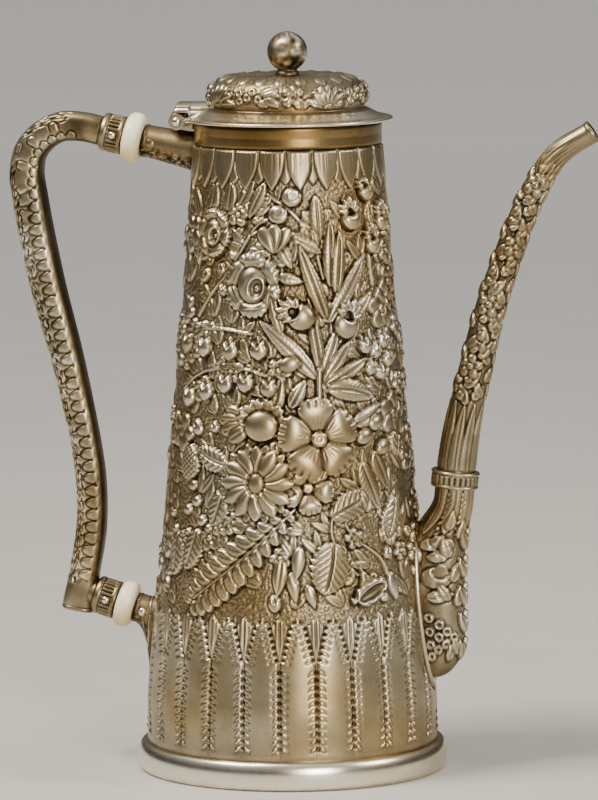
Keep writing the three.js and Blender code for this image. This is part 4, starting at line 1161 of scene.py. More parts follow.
# %% [markdown]
# ## Foot, collar and finial
# These were spun on a lathe, so each is a closed outline carried round the axis. Corners are
# rounded a little, as a burnisher leaves them. The foot and the finial are handled most and
# stay bright; the collar sits under the brim and has toned to a golden brown.

# %% Lathe work


def spin(name, outline, count, body, slot, material, node_name, corner=0.3, dark=0.35,
         place=None):
    """Rounds an outline of (radius, height) pairs, carries it round the Z axis and closes
    it on itself; place moves the finished points. dark gives each point's recess."""
    points = turned(rounded(outline, corner), count)
    shade = dark(points) if callable(dark) else dark
    if place is not None:
        points = place(points)
    piece = build_tube(name, points, shade, body, slot, material, ends="joined")
    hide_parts(*node_name)


foot_out = foot_high[0]
spin(
    "foot_rim",
    [(BASE_R - 1.2, 0), (foot_out - 1, 0), (foot_out - 0.2, 1.8), (foot_out, 4.2),
     (foot_out - 0.2, 6.6), (foot_out - 1.0, 8.6), (foot_out - 2.0, FOOT_TOP),
     (BASE_R - 1.2, FOOT_TOP)],
    360, "pot", "bright_silver", BRIGHT, ["foot_ring"], corner=1.0,
    # Darker towards its top, where it meets the wall, and painted shade along the lower edge that
    # faces the floor.
    dark=lambda p: 0.16 + 0.5 * smooth(p[..., 2], 7.8, FOOT_TOP)
    + 0.35 * (1 - smooth(p[..., 2], 0, 2.5)),
)
rim_z = collar_high[2]
spin(
    "toned_collar",
    [(27.7, collar_low[2]), (TOP_R - 1.2, collar_low[2]), (TOP_R - 1.2, WALL_TOP + 0.1),
     (collar_high[0] - 0.3, WALL_TOP + 0.1), (collar_high[0], WALL_TOP + 0.9),
     (collar_high[0] - 0.15, WALL_TOP + 3.6), (collar_high[0], rim_z - 0.9),
     (collar_high[0] - 0.2, rim_z), (29.3, rim_z), (29.3, WALL_TOP + 1.3), (27.7, WALL_TOP + 1.3)],
    300, "pot", "toned_silver", TONED, ["rim_collar"], corner=0.35,
    # Painted shade: darker in the band at its top, under the lid's brim; also darker at its foot,
    # where it meets the wall.
    dark=lambda p: 0.3 + 0.5 * (1 - smooth(p[..., 2], WALL_TOP, WALL_TOP + 1.2))
    + 0.4 * smooth(p[..., 2], rim_z - 1.8, rim_z),
)
bezel_low, bezel_high = span("lid_bezel")
spin(
    "inner_bezel",
    [(bezel_high[0] - 1, bezel_low[2]), (bezel_high[0], bezel_low[2]),
     (bezel_high[0], bezel_high[2]), (bezel_high[0] - 1, bezel_high[2])],
    240, "lid", "plain_silver", PLAIN, ["lid_bezel"], dark=0.45,
)

# %% Finial
ball_low, ball_high = span("finial_ball")
stem_low = span("finial_stem")[0]
BALL_R = ball_high[0]
BALL_Z = ball_high[2] - BALL_R
BALL_COLUMNS = 144


def make_ball():
    """A sphere of rows of latitude, with two pole points. It is darker towards the
    bottom."""
    lift = np.linspace(-np.pi / 2, np.pi / 2, 74)[1:-1]
    profile = np.stack([BALL_R * np.cos(lift), BALL_Z + BALL_R * np.sin(lift)], 1)
    poles = [[0, 0, BALL_Z - BALL_R], [0, 0, BALL_Z + BALL_R]]
    points = np.concatenate([turned(profile, BALL_COLUMNS).reshape(-1, 3), poles])
    blotch = soften(rng.standard_normal((len(lift), BALL_COLUMNS)), 2.5).ravel() * 2.2
    low = 0.34 + 0.3 * (1 - smooth(points[:, 2], BALL_Z - 5, BALL_Z + 1.5))
    low[:-2] += blotch
    piece = build("finial_knob", points, tube_faces(len(lift), BALL_COLUMNS), "lid",
                  "plain_silver", CHASED, recess=low, matte=np.full(len(points), 0.12))
    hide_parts("finial_ball")


make_ball()
neck_z = ball_low[2] - 1.9
spin(
    "finial_neck",
    [(0.2, stem_low[2]), (1.3, stem_low[2]), (1.3, neck_z), (3.9, neck_z), (3.8, neck_z + 0.9),
     (3.1, neck_z + 1.7), (3.3, neck_z + 2.4), (0.2, neck_z + 2.4)],
    96, "lid", "plain_silver", CHASED, ["finial_stem"], corner=0.25, dark=0.75,
)

# %% [markdown]
# ## The lid
# A low dome on a wide sloping brim. The dome's shoulder is chased all round with berries,
# leaves, small flowers and fans of petals; its top is stippled and softly lumpy. The brim
# has a notch at the back, where the hinge's tongue passes down to its knuckle.

# %% Lid shape
LID_Z = rim_z + 0.3
DOME_R, DOME_TOP = 25.5, rim_z + 14.9
DOME_FOOT = LID_Z + 4.2
BRIM_R, LID_SHEET = 34.0, 1.1
CHASING_STEP = 0.3


def along_line(points, step):
    """Points at equal steps along a broken line."""
    p = np.asarray(points, float)
    far = np.concatenate([[0], np.cumsum(np.linalg.norm(np.diff(p, axis=0), axis=1))])
    at = np.linspace(0, far[-1], max(int(round(far[-1] / step)) + 1, 2))
    return np.stack([np.interp(at, far, p[:, k]) for k in range(p.shape[1])], 1), at


def dome_outline(inset):
    """The dome's (radius, height) line from its foot, over a quarter ellipse, to its dip."""
    r, foot, top = DOME_R - inset, DOME_FOOT - inset, DOME_TOP - inset
    belly, crown = foot + (top - foot) * 0.4, r * 0.66
    angle = np.linspace(0, np.pi / 2, 40)
    out, up = crown + (r - crown) * np.cos(angle), belly + (top - belly) * np.sin(angle)
    curve = np.stack([out, up], 1)
    neck = np.linspace(0, 1, 12)[:, None]
    foot_in = np.array([r - 0.6, foot]) * (1 - neck) + np.array([r, belly]) * neck
    foot_in[:, 0] += 0.3 * np.sin(np.pi * neck[:, 0])
    dip = np.array([[crown * 0.8, top], [crown * 0.5, top - 0.1], [4.5, top - 0.45],
                    [1.7, top - 0.6]])
    return np.concatenate([foot_in[:-1], curve, dip])


dome_line, dome_along = along_line(dome_outline(0), CHASING_STEP)
LID_COLUMNS = 540
lid_across = np.arange(LID_COLUMNS) * 360 / LID_COLUMNS - 180
dome_field = Field(lid_across, dome_along, np.maximum(dome_line[:, 0], 2.0))
print(f"dome line {dome_along[-1]:.1f} mm long")

# %% Lid ornament


def ringed_berry(f, angle, place, size=1.2):
    """A round berry with a hollow at its middle, as a ring punch leaves it."""
    f.lay(angle, place, 4, 0, dome(size, size, 0.5, lift=0.45), groove=0.4)
    f.lay(angle, place, 3, 0, dome(size * 0.5, size * 0.5, -0.4, lift=0.35), groove=0.0)


def lid_garland(f):
    """Four repeats of one garland: berries, crossed leaves, a heart flower, a fan."""
    for angle in np.arange(-180, 180, 18.0):
        f.lay(angle + 4, 9.4, 6, 90, leaf(5.5, 4.2, lift=0.2, crown=0.45, rib=0.2), groove=0.25)
    for repeat in range(4):
        base = -80 + 90 * repeat
        for angle, place in ((-44, 2.2), (-37.5, 3.4), (-31, 4.6), (-27, 6.6), (-38, 6.0),
                             (-22, 4.0)):
            ringed_berry(f, base + angle, place, 1.35)
        for angle, place, turn in ((-22, 2.2, 15), (-19, 7.4, -20), (-6, 2.0, 150), (-7, 7.6, 200)):
            f.lay(base + angle, place, 8, turn, leaf(6.2, 3.0, lift=0.5, crown=0.8, rib=0.35))
        for way in (40, 90, 140, 225, 315):
            f.lay(base + 4, 5.0, 6, way, leaf(4.0, 3.2, p=0.9, q=0.5, lift=0.6, crown=0.8, rib=0.0))
        ringed_berry(f, base + 4, 5.0, 0.9)
        for side in (-1, 1):
            f.lay(base + 10, 1.0, 6, 90 + side * 42, leaf(4.6, 2.4, lift=0.4, crown=0.7, rib=0.2))
        fan = leaf(7.8, 3.0, p=0.9, q=0.6, lift=0.6, crown=0.9, rib=0.0)
        for k in range(7):
            f.lay(base + 31, 1.0, 9, 158 - 24 * k, fan)
        f.lay(base + 31, 1.2, 4, 0, dome(1.7, 1.4, 0.7, lift=0.8))


lid_garland(dome_field)
lumps = soften(rng.standard_normal(dome_field.height.shape), 4.0)
place_up = dome_field.along[:, None]
dome_field.height += 1.9 * lumps * smooth(place_up, 9, 14) * (1 - smooth(place_up, 24, 29))
dome_field.height += 0.12 * soften(rng.standard_normal(lumps.shape), 0.7) * (1 - dome_field.covered)
dome_field.height *= 0.75 * smooth(place_up, 0.0, 2.6) * (1 - smooth(place_up, 25, 28))
dome_field.height = soften(dome_field.height, 0.5)
print(f"lid relief up to {dome_field.height.max():.2f} mm")

# %% Lid mesh
NOTCH_HALF, NOTCH_X = 8.3, 31.2


def make_lid():
    """Underside from the centre out, brim edge, brim top, then the chased dome back to the
    centre. The hinge notch pulls the rim in to a straight line at the back."""
    angle = np.radians(lid_across)
    inner = dome_outline(LID_SHEET)[::-3]
    flat = [[DOME_R + 1, LID_Z + 1.8], [29.0, LID_Z], [BRIM_R - 0.5, LID_Z]]
    under = np.concatenate([inner, flat])
    edge = np.radians(np.linspace(-80, 75, 9))
    lip = np.stack([BRIM_R - 0.55 + 0.55 * np.cos(edge), LID_Z + 0.55 + 0.55 * np.sin(edge)], 1)
    brim, _ = along_line([[BRIM_R - 0.7, LID_Z + 1.12], [BRIM_R - 3, LID_Z + 1.45],
                          [DOME_R + 2.5, LID_Z + 2.8], [DOME_R - 0.2, DOME_FOOT]], 0.5)
    plain = np.concatenate([under, lip, brim[:-1]])
    step = np.gradient(dome_line, axis=0)
    normal = np.stack([step[:, 1], -step[:, 0]], 1)
    normal /= np.linalg.norm(normal, axis=1)[:, None]
    dome_r = dome_line[:, :1] + normal[:, :1] * dome_field.height
    dome_z = dome_line[:, 1:] + normal[:, 1:] * dome_field.height
    count = len(angle)
    r = np.concatenate([np.repeat(plain[:, :1], count, 1), dome_r])
    z = np.concatenate([np.repeat(plain[:, 1:], count, 1), dome_z])
    at_back = (np.abs(BRIM_R * np.sin(angle)) < NOTCH_HALF) & (np.cos(angle) < 0)
    limit = np.where(at_back, NOTCH_X / np.maximum(np.abs(np.cos(angle)), 0.5), 99)
    r = np.minimum(r, limit[None, :])
    points = np.stack([r * np.cos(angle), r * np.sin(angle), z], -1)
    dark = np.full(r.shape, 0.5)
    dark[len(under): len(plain) - 3] = 0.0
    dark[len(plain):] = recess_of(dome_field.height, CHASING_STEP, 0.44)
    dark[len(plain): len(plain) + 2] = 0.6
    matte = np.zeros(r.shape)
    matte[len(plain):] = (1 - dome_field.covered) * smooth(place_up, 1, 3) * 0.8
    piece = build_tube("chased_lid", points, dark, "lid", "chased_silver", CHASED,
                       ends="joined", matte=matte)
    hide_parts("lid_cover")


make_lid()

# %% [markdown]
# ## The hinge
# A broad tongue runs from the dome to a knuckle behind the pot, and a plate joins the outer
# knuckles to the collar. The pin has domed, polished heads. The tongue is a loft of arched
# sections whose edge carries a raised bead.

# %% Hinge pieces
pin_low, pin_high = span("hinge_pin")
HINGE_X = (pin_low[0] + pin_high[0]) / 2
HINGE_Z = (pin_low[2] + pin_high[2]) / 2
leaf_low, leaf_high = span("lid_hinge_leaf")
KNUCKLE_R = HINGE_X - leaf_low[0]
TONGUE_TOP = leaf_high[2] - 0.1 - HINGE_Z
LID_OPEN_DEG = 105
# The direction square to the socket's top, and how far below the hinge line it lies.
SOCKET_TOP_DEG = 83
SOCKET_ROOM = 2.77
PLATE_THICK, PLATE_HALF = 2.5, 7.5
KNUCKLE_HALF = 2.6


def make_tongue():
    """Stations along the side outline, from behind the knuckle over its top to the dome.
    Each is an arch 1 - |y/h|^2.4 from a base point to a crest point, with a bead along
    both edges; the first stretch follows a circle inside and an ellipse outside, cut back
    to the straight line that, with the lid fully open, lies along the socket's top."""
    turn = np.radians(np.linspace(180, 90, 34))[:-1, None]
    way = np.concatenate([np.cos(turn), np.sin(turn)], 1)
    nose = way * (KNUCKLE_R + 0.45, TONGUE_TOP)
    far_out = np.linalg.norm(nose, axis=1)
    lean = np.arctan2(nose[:, 1], nose[:, 0]) + np.radians(LID_OPEN_DEG - SOCKET_TOP_DEG)
    room = SOCKET_ROOM / np.maximum(-np.cos(lean), 0.1)
    nose *= (np.minimum(far_out, np.maximum(room, KNUCKLE_R + 0.22)) / far_out)[:, None]
    level = np.linspace(0, -21.5 - HINGE_X, 44)
    base_z = np.where(level < 3.9, KNUCKLE_R + 0.2, LID_Z + 0.9 - HINGE_Z)
    crest_z = TONGUE_TOP + 0.1 * smooth(level, 2, 10)
    base = np.concatenate([(KNUCKLE_R + 0.12) * way, np.stack([level, base_z], 1)])
    crest = np.concatenate([nose, np.stack([level, crest_z], 1)])
    rows = len(base)
    step = np.arange(rows)
    half = leaf_high[1] - 0.8 + 0.7 * smooth(step, 0, 30) - 1.0 * smooth(step, rows - 22, rows)
    y = np.linspace(-1, 1, 61)
    arch = 0.14 + 0.86 * (1 - np.abs(y) ** 2.4) ** 0.8
    tall = np.linalg.norm(crest - base, axis=1)[:, None]
    bead = np.exp(-((np.abs(y) - 0.92) / 0.05) ** 2)
    bead = bead - 0.9 * np.exp(-((np.abs(y) - 0.78) / 0.06) ** 2)
    share = arch + 0.34 * bead / np.maximum(tall, 0.6) * smooth(tall, 0.2, 1.5)
    upper = base[:, None] + (crest - base)[:, None] * share[..., None]
    lower = np.broadcast_to(base[:, None], upper.shape)
    across_y = half[:, None] * y
    ring_xz = np.concatenate([upper[:, ::-1], lower], 1)
    ring_y = np.concatenate([across_y[:, ::-1], across_y], 1)
    ring = np.stack([ring_xz[..., 0] + HINGE_X, ring_y, ring_xz[..., 1] + HINGE_Z], -1)
    groove = np.exp(-((np.abs(y) - 0.78) / 0.07) ** 2)
    edge = np.exp(-((np.abs(y) - 0.92) / 0.06) ** 2)
    shade = np.concatenate([0.26 + 0.5 * groove - 0.2 * edge, np.full(len(y), 0.6)])
    piece = build_tube("hinge_tongue", ring, shade, "lid", "plain_silver", PLAIN)
    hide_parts("lid_hinge_leaf")


def make_hinge_plate():
    """A plate from the outer knuckles to the collar, its edges rounded on every side."""
    x_in, low, top = -collar_high[0] + 0.8, HINGE_Z - PLATE_THICK, HINGE_Z - 0.05
    outline = rounded([(HINGE_X, top), (x_in, top), (x_in, low), (HINGE_X, low)], 0.5, 5)
    y = PLATE_HALF * np.array([-1, -1, -1, 1, 1, 1]) + [0, 0.1, 0.35, -0.35, -0.1, 0]
    inset = np.array([0.3, 0.08, 0, 0, 0.08, 0.3])[:, None, None]
    middle = outline.mean(0)
    size = (outline.max(0) - outline.min(0)) / 2
    xz = middle + (outline - middle) * (1 - inset / size)
    ring = np.stack([xz[..., 0], np.broadcast_to(y[:, None], xz.shape[:2]), xz[..., 1]], -1)
    piece = build_tube("hinge_plate", ring, 0.5, "pot", "plain_silver", PLAIN)
    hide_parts("body_hinge_leaf")


def cross_rod(name, centre, outline, count, slot, material, node_names, body="pot", dark=0.35):
    """A lathe piece whose axis runs along Y through a centre: heights become Y."""
    def place(p):
        return np.stack([centre[0] + p[..., 0], p[..., 2] + centre[1], centre[2] - p[..., 1]], -1)
    spin(name, outline, count, body, slot, material, node_names, 0.12, dark, place)


def pin_outline(radius, half, head, dome_h):
    """A shank with a domed head at each end, as a (radius, distance) outline."""
    arc = np.radians(np.linspace(0, 86, 8))
    high = np.stack([head * np.cos(arc), half + dome_h * np.sin(arc)], 1)
    low = high[::-1] * (1, -1)
    return np.concatenate([low, [[radius, -half], [radius, half]], high, [[0.05, half + dome_h]],
                           [[0.05, -half - dome_h]]])


make_tongue()
make_hinge_plate()
hinge_at = (HINGE_X, 0, HINGE_Z)
cross_rod("hinge_rivet", hinge_at, pin_outline(1.0, pin_high[1] - 0.9, 1.5, 0.9), 48,
          "bright_silver", BRIGHT, ["hinge_pin"], dark=0.1)
cross_rod("middle_knuckle", hinge_at,
          [(1.1, -KNUCKLE_HALF), (KNUCKLE_R, -KNUCKLE_HALF), (KNUCKLE_R, KNUCKLE_HALF),
           (1.1, KNUCKLE_HALF)],
          64, "plain_silver", PLAIN, [], "lid", 0.5)
for side, label in ((-1, "near"), (1, "far")):
    inner, outer = sorted((side * 2.9, side * 7.6))
    cross_rod(f"{label}_knuckle", hinge_at,
              [(1.1, inner), (KNUCKLE_R, inner), (KNUCKLE_R, outer), (1.1, outer)],
              64, "plain_silver", PLAIN, ["body_hinge_leaf"], "pot", 0.3)

# %% [markdown]
# ## Handle mounts
# Silver carries heat, so two ivory discs part the handle from the pot. On each side of a
# disc its tenon is held by a cross pin, in a ribbed ferrule on the handle's side and in a
# tapering socket on the pot's side.

# %% Mount frames
upper_disc, lower_disc = span("upper_insulator"), span("lower_insulator")
MOUNTS = {
    "upper": {"tilt": 12.0, "disc_r": 8.35, "neck": 0.0},
    "lower": {"tilt": 17.0, "disc_r": 7.65, "neck": 4.5},
}
for label, (low, high) in (("upper", upper_disc), ("lower", lower_disc)):
    MOUNTS[label]["centre"] = (low + high) / 2
    lean = np.radians(MOUNTS[label]["tilt"])
    MOUNTS[label]["out"] = np.array([-np.cos(lean), 0, np.sin(lean)])
    MOUNTS[label]["up"] = np.array([np.sin(lean), 0, np.cos(lean)])
    print(label, "mount at", MOUNTS[label]["centre"].round(2))
DISC_HALF, DISC_CORNER = 3.0, 2.5
FERRULE_R, FERRULE_L = 6.3, 7.6
PIN_FROM_FACE = 3.4
SIDEWAYS = np.array([0, 1.0, 0])


def on_mount(mount):
    """Turns points about +Z into the mount's frame, whose Z runs away from the pot."""
    def place(p):
        return (mount["centre"] + p[..., 2:] * mount["out"] + p[..., :1] * mount["up"]
                + p[..., 1:2] * SIDEWAYS)
    return place


# %% Ivory


def ivory_material():
    """Turned ivory, hand-polished and yellowed with age: faint grain lines 0.5 mm apart,
    some light passing through, and a warm tone where the recess value is high."""
    material, tree = new_material("turned_ivory")
    place = node(tree, "ShaderNodeTexCoord").outputs["Object"]
    yellow = node(tree, "ShaderNodeAttribute", attribute_name="recess").outputs["Fac"]
    stretched = node(
        tree, "ShaderNodeMapping", {"Vector": place, "Scale": (1.0, 0.15, 1.0)}
    ).outputs["Vector"]
    grain_lines = noise(tree, stretched, 0.9, Detail=3.0, Distortion=0.4)
    tone = mathed(tree, "MULTIPLY_ADD", grain_lines, 0.35, yellow)
    colour = node(
        tree, "ShaderNodeValToRGB", {"Fac": tone},
        stops=[(0.12, "fff7dc"), (0.36, "f6e9ba"), (0.7, "dcc083"), (1.0, "a5834c")],
    ).outputs["Color"]
    bump = node(
        tree, "ShaderNodeBump", {"Height": grain_lines, "Strength": 0.15, "Distance": 0.1 * MM}
    ).outputs["Normal"]
    return finished(material, {"Base Color": colour, "Roughness": 0.32, "Normal": bump,
                               "IOR": 1.54, "Subsurface Weight": 0.15,
                               "Subsurface Scale": 0.0015})


IVORY = ivory_material()


def make_disc(label):
    """A thick disc with a full round edge: the corner arcs take up most of its thickness."""
    mount = MOUNTS[label]
    r, h, corner = mount["disc_r"], DISC_HALF, DISC_CORNER
    arc = np.radians(np.linspace(-90, 0, 9))
    low = np.stack([r - corner + corner * np.cos(arc), -h + corner + corner * np.sin(arc)], 1)
    high = low[::-1] * (1, -1)
    outline = np.concatenate([[[0.1, -h]], low, high, [[0.1, h]]])

    # The disc is yellower and darker towards its lower edge.
    def yellower_below(points):
        return 0.04 + 0.42 * (1 - smooth(points[..., 0], -8, 3))

    spin(f"ivory_disc_{label}", outline, 120, "pot", "ivory", IVORY,
         [f"{label}_insulator"], 0.3, yellower_below, on_mount(mount))


for label in MOUNTS:
    make_disc(label)

# %% Ferrules
RIBS = 26
FERRULE_COLUMNS = 208


def make_ferrule(label):
    """Two rims with a sunk drum between them; the drum's ribs follow |cos(n a / 2)|."""
    mount = MOUNTS[label]
    face, back = DISC_HALF + 0.3, DISC_HALF + 0.3 + FERRULE_L
    body = [(0.1, face), (FERRULE_R - 0.1, face), (FERRULE_R, face + 0.7)]
    body += [(FERRULE_R - 0.15, face + 1.3)]
    body += [(FERRULE_R - 0.8, face + 1.6 + k * (FERRULE_L - 4.2) / 6) for k in range(7)]
    body += [(FERRULE_R - 0.1, back - 2.3), (FERRULE_R + 0.05, back - 1.5)]
    body += [(FERRULE_R - 0.25, back - 0.5)]
    end = back + mount["neck"] + 0.6
    body += [(5.0, back + 0.2), (4.6, end), (0.1, end)]
    outline, _ = along_line(body, 0.25)
    points = turned(outline, FERRULE_COLUMNS)
    angle = circle(FERRULE_COLUMNS)[None, :]
    s = points[..., 2]
    drum = smooth(s, face + 1.2, face + 1.7) * (1 - smooth(s, back - 2.9, back - 2.4))
    wave = np.abs(np.cos(RIBS / 2 * angle)) ** 0.7
    away = np.abs((angle + np.pi / 2 + np.pi) % (2 * np.pi) - np.pi)
    bare = np.exp(-(away * 6 / 1.6) ** 4) + np.exp(-((np.pi - away) * 6 / 1.6) ** 4)
    bulge = 0.75 * wave * drum * (1 - bare)
    scale = 1 + bulge / np.maximum(np.hypot(points[..., 0], points[..., 1]), 3)
    points[..., :2] *= scale[..., None]
    shade = 0.46 + drum * 0.55 * (1 - wave) + 0.2 * drum * (wave < 0.5)
    shade = shade + 0.25 * (1 - smooth(s, face, face + 0.5))
    piece = build_tube(f"ribbed_ferrule_{label}", on_mount(mount)(points), shade, "pot",
                       "chased_silver", CHASED, ends="joined")
    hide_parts(f"{label}_ferrule")
    centre = mount["centre"] + mount["out"] * (DISC_HALF + PIN_FROM_FACE)
    cross_rod(f"ferrule_rivet_{label}", centre, pin_outline(0.8, FERRULE_R - 0.5, 1.25, 0.85), 40,
              "bright_silver", BRIGHT, [f"{label}_ferrule_pin"], dark=0.15)


for label in MOUNTS:
    make_ferrule(label)

# %% Sockets
SOCKET_ROWS, SOCKET_COLUMNS = 60, 120
SOCKET_FACE = 3.3


def upper_section(s):
    """Drop, half height and half width of the upper socket at a distance from the disc."""
    t = s / 20.2
    return -0.2 * t, 5.2 + 1.2 * t ** 2, 5.2 + 0.8 * t


def lower_section(s):
    """The lower socket flares downwards as it nears the wall."""
    t = np.clip((s - 4) / 8, 0, 1.4)
    return 4.4 * t ** 2, 4.8 + 5.4 * t ** 2, 4.8 + 1.4 * t


def make_socket(label, shape, head, seam):
    """Sections from the disc's face to where each line along the socket meets the wall,
    which is found by halving the distance twenty times."""
    mount = MOUNTS[label]
    angle = circle(SOCKET_COLUMNS)
    centre, out, up = mount["centre"], mount["out"], mount["up"]

    def at(s, lift):
        drop, half, width = shape(s)
        side = half * np.cos(angle) - drop
        return (centre - s[..., None] * out + (side + lift * np.cos(angle))[..., None] * up
                + ((width + lift) * np.sin(angle))[..., None] * SIDEWAYS)

    low, high = np.full(SOCKET_COLUMNS, SOCKET_FACE), np.full(SOCKET_COLUMNS, 34.0)
    for _ in range(20):
        middle = (low + high) / 2
        p = at(middle, 0)
        outside = np.hypot(p[:, 0], p[:, 1]) > wall_radius(p[:, 2]) - SUNK
        low, high = np.where(outside, middle, low), np.where(outside, high, middle)
    share = np.linspace(0, 1, SOCKET_ROWS)[:, None]
    s = SOCKET_FACE + (low - SOCKET_FACE)[None, :] * share
    line = np.exp(-((share - seam) / 0.035) ** 2)
    line = line - 0.7 * np.exp(-((share - seam + 0.07) / 0.03) ** 2)
    collar = np.exp(-(((s - SOCKET_FACE) - 0.7) / 0.45) ** 2)
    streaks = soften(rng.standard_normal(s.shape), 0.8) * smooth(-np.cos(angle), 0.1, 0.6)
    lift = 0.3 * line * (label == "lower") + 0.2 * collar + 0.1 * streaks
    points = at(s, lift)[:, ::-1]
    # Painted shade: each socket is darker on its underside.
    under = smooth(-np.cos(angle), -0.1, 0.5)[None, ::-1]
    shade = 0.64 + 0.16 * under + 0.3 * np.exp(-(share / 0.05) ** 2)
    shade = shade + 0.22 * smooth(share, 0.85, 1.0)
    shade = shade + 0.5 * streaks[:, ::-1] - 0.35 * np.maximum(line, 0) * (label == "lower")
    piece = build_tube(f"handle_socket_{label}", points, shade, "pot", "plain_silver", PLAIN)
    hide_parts(f"{label}_socket")
    pin_at = centre - out * (DISC_HALF + PIN_FROM_FACE)
    half = float(shape(np.array(DISC_HALF + PIN_FROM_FACE))[2])
    # A pin with a low head is coloured dark, as painted shade of a hole; a domed head stays bright.
    cross_rod(f"socket_rivet_{label}", pin_at, pin_outline(0.8, half - 0.15, 1.4, head), 40,
              "bright_silver", BRIGHT, [f"{label}_socket_pin"], dark=0.1 if head > 0.5 else 0.8)


make_socket("upper", upper_section, 0.35, 0.5)
make_socket("lower", lower_section, 0.95, 0.62)

# %% [markdown]
# ## The handle's grip
# The grip is a hollow tube hammered to a soft square section. Its two faces carry chains of
# scallops and leaf-like dents from curved punches; the outside edge is worn smooth and
# carries a painted highlight, and the inside edge, where fingers close, is plain and
# carries painted shade.

# %% Curves


def through(points, step):
    """A centripetal Catmull-Rom curve: knots lie the square root of each chord apart, and
    each stretch is blended from its four nearest points. Returned at equal steps."""
    p = np.asarray(points, float)
    p = np.concatenate([[2 * p[0] - p[1]], p, [2 * p[-1] - p[-2]]])
    knots = np.concatenate([[0], np.cumsum(np.linalg.norm(np.diff(p, axis=0), axis=1) ** 0.5)])
    t = np.linspace(knots[1], knots[-2] - 1e-9, 3000)
    k = np.clip(np.searchsorted(knots, t, "right") - 1, 1, len(p) - 3)

    def blend(a, b, first, last):
        share = ((t - knots[k + first]) / (knots[k + last] - knots[k + first]))[:, None]
        return a * (1 - share) + b * share

    a1 = blend(p[k - 1], p[k], -1, 0)
    a2 = blend(p[k], p[k + 1], 0, 1)
    a3 = blend(p[k + 1], p[k + 2], 1, 2)
    b1, b2 = blend(a1, a2, -1, 1), blend(a2, a3, 0, 2)
    return along_line(blend(b1, b2, 0, 1), step)


def sweep(path, half_out, half_side, height, squareness=1.0):
    """Carries a section along a path in the XZ plane. The section is a superellipse; its
    first direction is the path's normal, its second is Y. Relief goes outwards."""
    tangent = np.gradient(path, axis=0)
    tangent /= np.linalg.norm(tangent, axis=1)[:, None]
    normal = np.stack([tangent[:, 2], 0 * tangent[:, 0], -tangent[:, 0]], 1)
    angle = np.linspace(-np.pi, np.pi, height.shape[1], endpoint=False)
    c, s = np.cos(angle), np.sin(angle)
    power = 1 / squareness
    c, s = np.sign(c) * np.abs(c) ** power, np.sign(s) * np.abs(s) ** power
    a = half_out[:, None] * c
    b = half_side[:, None] * s
    da, db = np.gradient(a, axis=1), np.gradient(b, axis=1)
    size = np.hypot(da, db) + 1e-9
    a, b = a + height * db / size, b - height * da / size
    return path[:, None] + a[..., None] * normal[:, None] + b[..., None] * SIDEWAYS


# %% Grip shape and scallops
GRIP_COLUMNS, GRIP_SQUARENESS = 128, 1.5
SCALLOP_PITCH = 3.95
PATH_STEP = 0.33
upper, lower = MOUNTS["upper"], MOUNTS["lower"]
grip_top = upper["centre"] + (DISC_HALF + FERRULE_L + 0.6) * upper["out"]
grip_low = lower["centre"] + np.array([-15.9, 0, -0.6])
BEND = [(0, 0), (-6, 1.28), (-13.2, 1.2), (-19.2, -1.9), (-23.3, -6.9), (-24.7, -13.6),
        (-23.8, -21.8)]
RISE = [(3.3, 50.7), (4.6, 38.2), (4.3, 24.9), (2.1, 11.9), (0, 0)]


def grip_path():
    """The bend hangs from the upper ferrule, the rise stands on the lower end, and two
    points a third and two thirds of the way give the long stretch its faint S."""
    bend = [grip_top + (x, 0, z) for x, z in BEND]
    rise = [grip_low + (x, 0, z) for x, z in RISE]
    chord = rise[0] - bend[-1]
    slant = [bend[-1] + chord / 3 + (-0.7, 0, 0), bend[-1] + chord * 2 / 3 + (0.4, 0, 0)]
    return through([*bend, *slant, *rise], PATH_STEP)


def grip_half(t):
    """Slim at the ferrule, fullest at the bend, slim below, flared at the flat end."""
    upper_half = 4.7 + 1.0 * smooth(t, 0, 0.25)
    lower_half = upper_half + (4.9 - upper_half) * smooth(t, 0.35, 0.7)
    return lower_half + 0.5 * smooth(t, 0.93, 1)


def scallop(f, angle, place, radius, way):
    """One scallop of a chain: a low boss inside a punched arc that is open on one side."""
    f.lay(angle, place, radius + 1, 0, dome(radius, radius, 0.1, lift=0.05), groove=0.0, edge=0.6)
    f.lay(angle, place, radius + 2, way, arc_line(radius, 0.4, 0.4), groove=0.0, edge=0.12)


